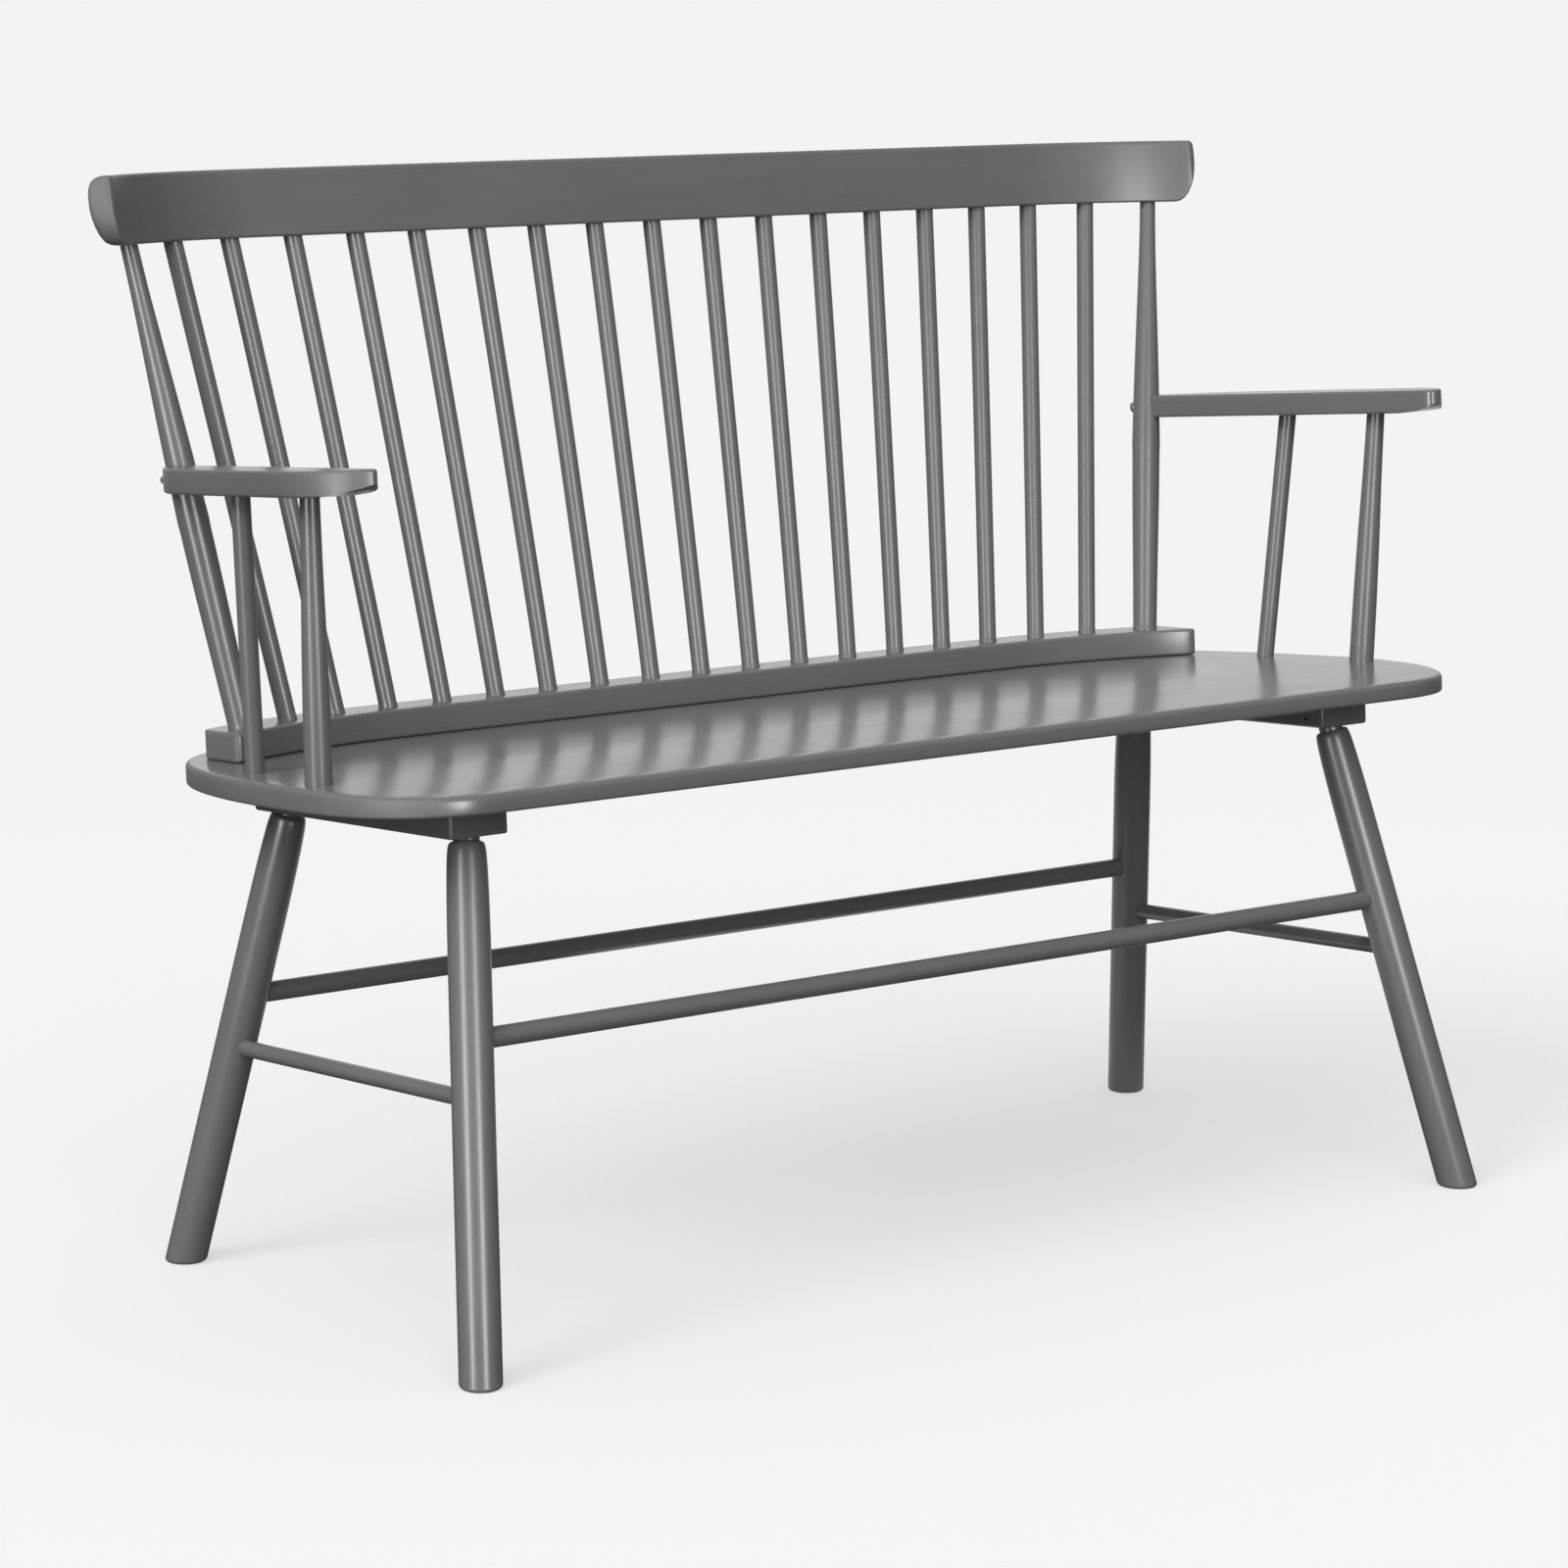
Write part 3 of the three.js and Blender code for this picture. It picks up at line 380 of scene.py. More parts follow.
def extrude_bar(piece, places, box_at):
    """Extrudes the section through the places. box_at gives the section's box at each."""
    full = box_at(0)
    last = full
    here = 0
    for i, x in enumerate(places):
        move = {"value": ((x - here) * MM, 0, 0)}
        if i:
            bpy.ops.mesh.extrude_region_move(TRANSFORM_OT_translate=move)
        else:
            bpy.ops.transform.translate(**move)
        box = box_at(x)
        (y0, y1, z0, z1), (a0, a1, b0, b1) = box, last
        bpy.ops.transform.resize(
            value=(1, (y1 - y0) / (a1 - a0), (z1 - z0) / (b1 - b0)),
            center_override=(x * MM, (a0 + a1) / 2 * MM, (b0 + b1) / 2 * MM))
        bpy.ops.transform.translate(
            value=(0, (y0 + y1 - a0 - a1) / 2 * MM, (z0 + z1 - b0 - b1) / 2 * MM))
        last, here = box, x


def bow_bar(piece, straight, bend):
    """Turns both ends forward. Each row of corners slides along its own place on the arc."""
    edit(piece)
    rows = sorted({round(v.co.x, 5) for v in bmesh.from_edit_mesh(piece.data).verts})
    for row in rows:
        past = abs(row) / MM - straight
        if past <= 0:
            continue
        angle = math.asin(past / bend)
        pick(piece, "verts", lambda v: round(v.co.x, 5) == row)
        bpy.ops.transform.resize(value=(1, 1 / math.cos(angle), 1), center_override=(row, 0, 0))
        bpy.ops.transform.translate(value=(0, -bend * (1 - math.cos(angle)) * MM, 0))
    return len(rows)


print("bar helpers ready")

# %% [markdown]
# The spindle rail lies on the seat behind the sitter. Its top edges are only
# eased, and its two ends are rounded in plan. It is wide and low, so its rows
# slide forward along the arc and keep facing the front.

# %% Spindle rail
rail_edge, rail_corner, rail_step = 2.6, 9, 11
rail = section_face("rail", rail_width, rail_height, rail_edge, rail_edge)


def rail_box(x):
    end = rail_reach - abs(x)
    pinch, ease = rounding(rail_corner, end), rounding(rail_edge, end)
    half = rail_width / 2 - pinch
    return -half, half, ease, rail_height - ease


rail_places = stations(rail_straight, rail_reach, (rail_corner, rail_edge), rail_step)
extrude_bar(rail, rail_places, rail_box)
rows = bow_bar(rail, rail_straight, rail_bend)
lay_on_seat(rail, rail_setback, rail_underside)
finish_piece(rail, "spindle_rail")
print("rail rows", rows, "faces", len(rail.data.polygons))

# %% [markdown]
# The crest rail is taller, and its ends are square to the bend. Its back is
# generously rounded, so the section is a Bezier outline. The lower corner of each
# end is a long curve, the upper one is nearly square. The bent rail is leaned by
# a turn, a stretch and a turn back, which keeps its underside level.

# %% Crest rail
crest_edge, crest_low_back, crest_top_back = 3.2, (11, 20), (17.5, 29)
crest_end_low, crest_end_high, crest_end_face = (22, 40), 4, 5
crest_climb, crest_step, crest_curve_steps = 0.025, 9, 8


def crest_section():
    """Knots given back and up, with each rounding drawn toward its sharp corner."""
    front, rear = -crest_thickness / 2, crest_thickness / 2
    corners = [
        ((front, 0), (0, crest_edge), (crest_edge, 0)),
        ((rear, 0), (-crest_low_back[0], 0), (0, crest_low_back[1])),
        ((rear, crest_height), (0, -crest_top_back[1]), (-crest_top_back[0], 0)),
        ((front, crest_height), (crest_edge, 0), (0, -crest_edge)),
    ]
    knots = []
    for (back, up), (in_back, in_up), (out_back, out_up) in corners:
        start, end = (back + in_back, up + in_up), (back + out_back, up + out_up)
        knots.append((start, start, (back + in_back / 3, up + in_up / 3)))
        knots.append((end, (back + out_back / 3, up + out_up / 3), end))
    return knots


def crest_box(x):
    end = crest_half_length - abs(x)
    half = crest_thickness / 2
    face = rounding(crest_end_face, end)
    run, rise = crest_end_low
    return (face - half, half - face,
            rounding(run, end) * rise / run, crest_height - rounding(crest_end_high, end))


def bend_bar(piece, straight, bend, climb):
    """Bends both ends forward. Each row turns square to the arc and climbs a little."""
    edit(piece)
    rows = {}
    for v in bmesh.from_edit_mesh(piece.data).verts:
        rows.setdefault(round(v.co.x, 5), set()).add(v.index)
    for row, corners in sorted(rows.items()):
        past = abs(row) / MM - straight
        if past <= 0:
            continue
        side, angle = math.copysign(1, row), past / bend
        ahead = bend * (1 - math.cos(angle))
        pick(piece, "verts", lambda v: v.index in corners)
        bpy.ops.transform.rotate(
            value=side * angle, orient_axis="Z", center_override=(row, 0, 0))
        bpy.ops.transform.translate(value=(
            side * (bend * math.sin(angle) - past) * MM, -ahead * MM, climb * ahead * MM))
    bpy.ops.object.mode_set(mode="OBJECT")
    return len(rows)


crest = outlined_face("crest", crest_section(), crest_curve_steps)
bpy.ops.object.mode_set(mode="OBJECT")
crest.rotation_euler = (math.pi / 2, 0, math.pi / 2)
bpy.ops.object.transform_apply(rotation=True)
edit(crest)
crest_end_radii = (crest_end_low[0], crest_end_high, crest_end_face)
crest_places = stations(crest_straight, crest_half_length, crest_end_radii, crest_step)
extrude_bar(crest, crest_places, crest_box)
rows = bend_bar(crest, crest_straight, crest_bend, crest_climb)
crest.rotation_euler = (-math.pi / 4, 0, 0)
bpy.ops.object.transform_apply(rotation=True)
stretch = math.sin(back_lean)
crest.scale = (1, math.sqrt(1 + stretch), math.sqrt(1 - stretch))
crest.rotation_euler = (math.pi / 4 - back_lean / 2, 0, 0)
crest.location = Vector((0, seat_front + crest_setback, crest_rise)) * MM
settle(crest)
finish_piece(crest, "crest_rail")
print("crest rows", rows, "faces", len(crest.data.polygons))

# %% [markdown]
# Spindles, posts, legs, stretchers and arm supports are all turned on a lathe.
# A disc is extruded upward and scaled ring by ring, which is how a turner reads a
# profile: so far along, so thick. It is made upright and then set on its axis.


# %% Turned pieces
def turned(name, rings, facets):
    """rings are (distance along the axis, radius), in millimetres."""
    (low, first), *rest = rings
    clear_selection()
    bpy.ops.mesh.primitive_circle_add(
        vertices=facets, radius=first * MM, fill_type="NGON", location=(0, 0, low * MM))
    piece = bpy.context.object
    piece.name = name
    bpy.ops.object.transform_apply(location=True)
    edit(piece)
    for height, radius in rest:
        bpy.ops.mesh.extrude_region_move(
            TRANSFORM_OT_translate={"value": (0, 0, (height - low) * MM)})
        grow = radius / first
        bpy.ops.transform.resize(value=(grow, grow, 1), center_override=(0, 0, height * MM))
        low, first = height, radius
    bpy.ops.object.mode_set(mode="OBJECT")
    return piece


def set_on_axis(piece, start, end, stretch=1):
    """Lays the piece's own axis from start towards end."""
    turn = (end - start).to_track_quat("Z", "Y").to_matrix().to_4x4()
    scale = Matrix.Diagonal((1, 1, stretch, 1))
    piece.matrix_world = Matrix.Translation(start) @ turn @ scale
    return settle(piece)


def eased(stops, share):
    """A smooth curve through stops of (share, value)."""
    for (low, first), (high, last) in zip(stops, stops[1:]):
        if share <= high:
            way = (share - low) / (high - low)
            return first + (last - first) * way
    return stops[-1][1]


def softened(stops, share, reach=0.03):
    near = [eased(stops, min(max(share + reach * (i / 3 - 1), 0), 1)) for i in range(7)]
    return sum(near) / len(near)


print("lathe ready")

# %% [markdown]
# The seventeen spindles are one stick repeated. It has a narrower tenon inside
# the rail, flares by a hair where it stands on the rail, and goes full width into
# the crest. Each copy is stretched a little to reach its own place.

# %% Spindles
spindle_radius = 15.6 / 2
spindle_length = 400
spindle_model = turned("spindle_model", [
    (-17, 5.5), (-2.2, 5.5), (-2, 8), (0.2, 8.2), (1, 8.05), (2.4, 7.85), (5, spindle_radius),
    (spindle_length / 2, spindle_radius), (spindle_length + 20, spindle_radius),
], 32)
last_place = 9
pitch_on_rail, pitch_on_crest, extra_for_post = 53.758, 60.701, 3.9


def upright_ends(place):
    """Where an upright meets the rail below and the crest above."""
    extra = math.copysign(extra_for_post, place) if abs(place) == last_place else 0
    x, y = on_arc(rail_straight, rail_bend, place * pitch_on_rail + extra)
    foot = on_seat(x, rail_setback + y, rail_underside + rail_height)
    x, y = on_arc(crest_straight, crest_bend, place * pitch_on_crest)
    return foot, Vector((x, seat_front + crest_setback + y, crest_rise)) * MM


for number in range(1, 18):
    foot, head = upright_ends(number - last_place)
    spindle = copy_of(spindle_model, "spindle")
    set_on_axis(spindle, foot, head, (head - foot).length / (spindle_length * MM))
    finish_piece(spindle, f"spindle_{number:02d}")
bpy.data.objects.remove(spindle_model)
print("spindles", number)

# %% [markdown]
# The two end posts swell to their thickest at the arm and taper to the crest, so
# their profile is a curve through measured stops instead of a straight line.

# %% Posts
post_base, post_waist, post_top, post_rings = 11, 12.7, 7.1, 40
post_swell = [(0, 0), (0.11, 0.25), (0.2, 0.57), (0.29, 0.87), (0.38, 1), (0.46, 1)]
post_taper = [(0.46, 0), (0.55, 0.14), (0.63, 0.3), (0.71, 0.49), (0.8, 0.7), (0.9, 0.92), (1, 1)]


def post_radius(share):
    if share < 0.42:
        return post_base + (post_waist - post_base) * softened(post_swell, share)
    return post_waist + (post_top - post_waist) * softened(post_taper, share)


for side, sign in sides.items():
    foot, head = upright_ends(sign * last_place)
    length = (head - foot).length / MM
    rings = [(-17, 7), (-2.2, 7), (-2, 11.2), (0.2, 11.4), (1, 11.2), (2.6, 11)]
    rings += [(5 + (length - 5) * i / post_rings, post_radius(i / post_rings))
              for i in range(post_rings + 1)]
    rings += [(length + 20, post_top)]
    post = turned("post", rings, 40)
    finish_piece(set_on_axis(post, foot, head), f"back_post_{side}")
print("post rings", len(rings))

# %% [markdown]
# A leg starts as a thin tenon in the cleat, shows a short dark neck, then opens
# in a round shoulder that keeps swelling gently. The foot is sawn level with the
# floor after the leg is set on its splay, and its sharp rim is eased.

# %% Legs
leg_radius, leg_tenon = 17, 10.5
leg_shoulder = [
    (5, 0), (5.2, 0.22), (5.7, 0.4), (6.6, 0.53), (8, 0.62), (10.5, 0.7), (14, 0.76),
    (20, 0.82), (32, 0.89), (50, 0.95), (70, 0.985), (95, 1),
]
cleat_spacing, cleat_setback = 904, 60
cleat_length, cleat_thickness, cleat_width = 296, 25, 53.5
cleat_top = -seat_thickness - 0.3
cleat_underside = cleat_top - cleat_thickness
leg_back = {"front": cleat_setback + 19, "rear": cleat_setback + cleat_length - 12}
foot_across, foot_back = 514.5, {"front": -33, "rear": 419}
foot_easing = 3.2


def leg_ends(end, sign):
    foot = Vector((sign * foot_across, seat_front + foot_back[end], 0)) * MM
    return foot, on_seat(sign * cleat_spacing / 2, leg_back[end], cleat_underside)


for end in ("front", "rear"):
    for side, sign in sides.items():
        foot, head = leg_ends(end, sign)
        length = (foot - head).length / MM
        rings = [(-18, leg_tenon), (4.8, leg_tenon)]
        rings += [(along, leg_tenon + (leg_radius - leg_tenon) * out)
                  for along, out in leg_shoulder]
        rings += [(length + 30, leg_radius)]
        leg = set_on_axis(turned("leg", rings, 48), head, foot)
        edit(leg)
        bpy.ops.mesh.bisect(
            plane_co=(0, 0, 0), plane_no=(0, 0, 1), use_fill=True, clear_inner=True)
        pick(leg, "faces", lambda face: face.calc_center_median().z < 0.05 * MM)
        bpy.ops.mesh.region_to_loop()
        bpy.ops.mesh.bevel(offset=foot_easing * MM, segments=4, affect="EDGES")
        finish_piece(settle(leg), f"leg_{end}_{side}")
print("leg length", round(length))

# %% [markdown]
# Four straight rods brace the legs. Each end is let into a leg, so the rod is
# simply made a little longer than the space it spans.

# %% Stretchers
long_radius, short_radius, let_in = 16.7 / 2, 13.7 / 2, 7
stretchers = {
    "front": (long_radius, ("front", -1, 253), ("front", 1, 253)),
    "rear": (long_radius, ("rear", -1, 230), ("rear", 1, 230)),
    "left": (short_radius, ("front", -1, 209), ("rear", -1, 186)),
    "right": (short_radius, ("front", 1, 209), ("rear", 1, 186)),
}


def on_leg(end, sign, height):
    foot, head = leg_ends(end, sign)
    return foot.lerp(head, height * MM / head.z)


for name, (radius, start, end) in stretchers.items():
    start, end = on_leg(*start), on_leg(*end)
    length = (end - start).length / MM
    rod = turned("stretcher", [
        (-let_in, radius), (length / 2, radius), (length + let_in, radius)], 32)
    finish_piece(set_on_axis(rod, start, end), f"stretcher_{name}")
print("stretchers", len(stretchers))

# %% [markdown]
# A cleat is a plain bar of wood between the seat and a pair of legs. It is a cube
# at its size with the long lower edges and the ends eased.

# %% Cleats
cleat_easing = 2.4
for side, sign in sides.items():
    clear_selection()
    bpy.ops.mesh.primitive_cube_add(size=1, location=(sign * cleat_spacing / 2 * MM, 0, 0))
    cleat = bpy.context.object
    cleat.scale = (cleat_width * MM, cleat_length * MM, cleat_thickness * MM)
    bpy.ops.object.transform_apply(location=True, scale=True)
    edit(cleat)
    pick(cleat, "edges", lambda edge: not all(v.co.z > 0 for v in edge.verts))
    bpy.ops.mesh.bevel(offset=cleat_easing * MM, segments=4, affect="EDGES")
    bpy.ops.object.mode_set(mode="OBJECT")
    cleat.location = on_seat(
        0, cleat_setback + cleat_length / 2, cleat_underside + cleat_thickness / 2)
    cleat.rotation_euler = (-seat_rake, 0, 0)
    finish_piece(settle(cleat), f"cleat_{side}")
print("cleat faces", len(cleat.data.polygons))

# %% [markdown]
# The screws come up from below in open holes. Each one is a domed head on a plain
# shank with a cross slot pressed into it. It takes its place and its length from
# the frame, and the same place gives the hole for its head.

# %% Screws under the seat
screw_head_radius, screw_shank_radius, screw_head_height = 4.2, 2.1, 3.2
slot_length, slot_width, slot_depth = 5, 1.1, 1.4
mouth_radius, mouth_start = screw_head_radius + 0.4, -30
seat_normal = (on_seat(0, 0, 1) - on_seat(0, 0, 0)).normalized()
wood = {piece.name: piece for piece in dressed}


def screw_ends(node):
    """Where a screw's head starts and its shank ends, and its length in millimetres."""
    corners = [node.matrix_world @ corner.co for corner in node.data.vertices]
    middle = sum(corners, Vector()) / len(corners)
    heights = [(corner - middle).dot(seat_normal) for corner in corners]
    start, end = middle + seat_normal * min(heights), middle + seat_normal * max(heights)
    return start, end, (end - start).length / MM


def cross_slot():
    clear_selection()
    arms_of_cross = []
    for size in ((slot_length, slot_width), (slot_width, slot_length)):
        bpy.ops.mesh.primitive_cube_add(size=1, location=(0, 0, 0))
        bar = bpy.context.object
        bar.scale = (size[0] * MM, size[1] * MM, 2 * slot_depth * MM)
        bpy.ops.object.transform_apply(scale=True)
        arms_of_cross.append(bar)
    return arms_of_cross


slots = cross_slot()
screw_names = sorted(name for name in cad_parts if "_screw_" in name)
for name in screw_names:
    start, end, length = screw_ends(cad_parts[name])
    head = screw_head_height
    screw = turned("screw", [
        (0, 2.1), (0.25, 2.9), (0.8, 3.6), (1.6, 4), (2.4, screw_head_radius),
        (head, screw_head_radius), (head + 0.01, screw_shank_radius), (length, screw_shank_radius),
    ], 24)
    for bar in slots:
        apply_modifier(screw, "BOOLEAN", object=bar, operation="DIFFERENCE", solver="EXACT")
    finish_piece(set_on_axis(screw, start, end), name, "steel")
    bored = "seat_board" if name.startswith("rail") else f"cleat_{name.split('_')[2]}"
    board = wood[f"{bored}.wood"]
    mouth = turned("mouth", [(mouth_start, mouth_radius), (head, mouth_radius)], 24)
    set_on_axis(mouth, start, end)
    apply_modifier(board, "BOOLEAN", object=mouth, operation="DIFFERENCE", solver="EXACT")
    bpy.data.objects.remove(mouth)
for bar in slots:
    bpy.data.objects.remove(bar)
for board in wood.values():
    take(board)
    bpy.ops.object.shade_smooth_by_angle(angle=math.radians(35))
print("screws", len(screw_names))

# %% [markdown]
# An arm is a flat board, straight along the seat and curved at its outer end. It
# rises a little to the front and turns outward, so it is drawn flat as an
# outline and then laid in its own tilted frame on the post.

# %% Arms
arm_length, arm_width, arm_thickness, arm_height = 360, 50.3, 20.2, 657.5
arm_overlap, arm_tip, corner_across, corner_along = 5, 8, 8, 14
arm_rise, arm_splay = math.radians(-4.8), math.radians(5.4)
arm_easing, arm_curve_steps = 2.2, 14
scoop_length, scoop_depth, scoop_steps = 42, 8.5, 9


def arm_frame(sign):
    """The tilted frame of an arm, with its origin on the axis of the post."""
    foot, head = upright_ends(sign * last_place)
    share = (arm_height * MM - foot.z) / (head.z - foot.z)
    turn = Euler((arm_rise, 0, sign * arm_splay)).to_matrix().to_4x4()
    return Matrix.Translation(foot.lerp(head, share)) @ turn


def arm_knots(sign):
    def at(out, ahead):
        return sign * (arm_width - arm_overlap) * out, -(arm_length - arm_tip) * ahead
    inner = -sign * arm_overlap
    front = -(arm_length - arm_tip)
    back_inner, back_outer = (inner, arm_tip), (sign * post_waist, arm_tip)
    nose = at(0.36, 0.98)
    corner_start, corner_end = (inner + sign * corner_across, front), (inner, front + corner_along)
    middle = (inner + sign * corner_across / 3, front), (inner, front + corner_along / 3)
    return [
        (back_inner, back_inner, back_inner),
        (back_outer, back_outer, at(0.42, 0.02)),
        (at(1, 0.27), at(1, 0.13), at(1, 0.27)),
        (at(1, 0.8), at(1, 0.8), at(1, 0.89)),
        (nose, at(0.75, 0.945), nose),
        (corner_start, corner_start, middle[0]),
        (corner_end, middle[1], corner_end),
    ]


def scoop_rise(share):
    """The underside climbs to the front end of the arm, ever more steeply."""
    return scoop_depth * (0.4 * share + 0.6 * share ** 5)


def round_under_front(arm):
    """Pares the underside away plane by plane, from the start of the rise to the tip."""
    start = arm_tip - arm_length + scoop_length
    for step in range(scoop_steps):
        near, far = step / scoop_steps, (step + 1) / scoop_steps
        run, climb = scoop_length / scoop_steps, scoop_rise(far) - scoop_rise(near)
        place = Vector((0, start - scoop_length * near, scoop_rise(near) - arm_thickness / 2))
        bpy.ops.mesh.select_all(action="SELECT")
        bpy.ops.mesh.bisect(
            plane_co=place * MM,
            plane_no=Vector((0, -climb, -run)).normalized(), clear_outer=True)
        bpy.ops.mesh.select_all(action="SELECT")
        bpy.ops.mesh.fill_holes(sides=0)


def level_edge(edge):
    """An edge where the top or the underside of an arm meets its side."""
    if len(edge.link_faces) != 2:
        return False
    flat, wall = sorted((abs(face.normal.z) for face in edge.link_faces), reverse=True)
    return flat > 0.9 and wall < 0.3


for side, sign in sides.items():
    arm = outlined_face("arm", arm_knots(sign), arm_curve_steps)
    bpy.ops.transform.translate(value=(0, 0, -arm_thickness / 2 * MM))
    bpy.ops.mesh.extrude_region_move(
        TRANSFORM_OT_translate={"value": (0, 0, arm_thickness * MM)})
    bpy.ops.mesh.select_all(action="SELECT")
    bpy.ops.mesh.normals_make_consistent(inside=False)
    eased_edges = pick(arm, "edges", level_edge)
    bpy.ops.mesh.bevel(
        offset=arm_easing * MM, segments=4, affect="EDGES", clamp_overlap=False)
    round_under_front(arm)
    bpy.ops.object.mode_set(mode="OBJECT")
    arm.matrix_world = arm_frame(sign)
    settle(arm)
    foot, head = upright_ends(sign * last_place)
    middle = arm_frame(sign).translation
    cutter = turned("cutter", [(-30, post_waist + 0.3), (30, post_waist + 0.3)], 40)
    set_on_axis(cutter, middle, head)
    apply_modifier(arm, "BOOLEAN", object=cutter, operation="DIFFERENCE", solver="EXACT")
    bpy.data.objects.remove(cutter)
    finish_piece(settle(arm), f"arm_{side}")
print("eased edges", eased_edges, "arm faces", len(arm.data.polygons))

# %% [markdown]
# Two turned sticks carry each arm. The rear one is straight. The front one is
# thicker at the seat and thins on its way up.

# %% Arm supports
supports = {
    "front": {"across": 546.5, "back": 138, "lean": 6.5, "forward": 4.5, "foot": 11},
    "rear": {"across": 535, "back": 254, "lean": 14, "forward": 9, "foot": 7.8},
}
support_thin, support_rings = 7.8, 24
into_seat, into_arm = 10, 11
support_swell = [(0, 1), (0.25, 0.93), (0.5, 0.66), (0.75, 0.24), (1, 0)]
for end, place in supports.items():
    for side, sign in sides.items():
        foot = on_seat(sign * place["across"], place["back"], seat_rise(place["back"]))
        rise = arm_height * MM - foot.z
        aim = Vector((sign * place["lean"] * MM, -place["forward"] * MM, rise)).normalized()
        tilt = arm_frame(sign)
        normal = tilt.to_3x3() @ Vector((0, 0, 1))
        under = tilt @ Vector((0, 0, -arm_thickness / 2 * MM))
        head = foot + aim * ((under - foot).dot(normal) / aim.dot(normal))
        length = (head - foot).length / MM
        extra = place["foot"] - support_thin
        rings = [(-into_seat, place["foot"])]
        for i in range(support_rings + 1):
            share = i / support_rings
            swell = extra * softened(support_swell, share, 0.06)
            rings.append((length * share, support_thin + swell))
        rings += [(length + into_arm, support_thin)]
        stick = turned("support", rings, 36)
        finish_piece(set_on_axis(stick, foot, head), f"arm_support_{end}_{side}")
print("support length", round(length))

# %% [markdown]
# A bolt holds each arm to its post from the inside. Only its low round head
# shows, so it is a short turned button on a plain shank.

# %% Arm bolts
bolt_turn, bolt_shank_radius, bolt_length = math.radians(38), 3, 46
for side, sign in sides.items():
    tilt = arm_frame(sign)
    outward = Vector((sign * math.cos(bolt_turn), -math.sin(bolt_turn), 0))
    start = tilt @ (outward * -(post_waist - 1) * MM)
    bolt = turned("bolt", [
        (-3.5, 1.2), (-3.35, 2.3), (-2.9, 3.4), (-2.1, 4.2), (-1, 4.7), (0, 4.75),
        (0.02, bolt_shank_radius), (bolt_length, bolt_shank_radius),
    ], 32)
    finish_piece(set_on_axis(bolt, start, tilt @ outward), f"arm_bolt_{side}", "painted_steel")
print("bolts", len(sides))

# %% [markdown]
# Shader maths reads best as plain expressions. This small class wraps a socket,
# so that a noise can be scaled, shifted and clamped as if it were a number.


# %% Shader expressions
class Flow:
    """One output socket in a material, with the arithmetic that the paint needs."""

    def __init__(self, tree, socket):
        self.tree, self.socket = tree, socket

    def node(self, kind, settings=None, inputs=None, output=0):
        made = self.tree.nodes.new(kind)
        for key, value in (settings or {}).items():
            if key == "stops":
                for stop, (place, colour) in zip(made.color_ramp.elements, value):
                    stop.position, stop.color = place, colour
            else:
                setattr(made, key, value)
        for key, value in (inputs or {}).items():
            if isinstance(value, Flow):
                self.tree.links.new(value.socket, made.inputs[key])
            else:
                made.inputs[key].default_value = value
        return Flow(self.tree, made.outputs[output] if made.outputs else None)

    def maths(self, operation, first, second, clamp=False):
        settings = {"operation": operation, "use_clamp": clamp}
        return self.node("ShaderNodeMath", settings, {0: first, 1: second})

    def __add__(self, other):
        return self.maths("ADD", self, other)

    def __mul__(self, other):
        return self.maths("MULTIPLY", self, other)

    def __sub__(self, other):
        return self.maths("SUBTRACT", self, other)

    def __rsub__(self, other):
        return self.maths("SUBTRACT", other, self)

    __radd__ = __add__
    __rmul__ = __mul__

    def held(self, low, high):
        """The value as a share between low and high, clamped."""
        return self.maths("MULTIPLY", self - low, 1 / (high - low), clamp=True)


def new_material(name):
    material = bpy.data.materials.new(name)
    material.use_nodes = True
    material.node_tree.nodes.clear()
    start = Flow(material.node_tree, None)
    return material, start


print("shader helpers ready")

# %% [markdown]
# The finish is an opaque grey lacquer over sanded wood. It is even from afar.
# Close up it has a faint grain telegraphing through along each piece, a fine
# sprayed texture, and a sheen that wanders a little. The grain runs along the
# piece, so there is one version of the paint for each direction.

# %% Grey satin paint
paint_grey = (0.132, 0.139, 0.134)
tone_spread = 0.07


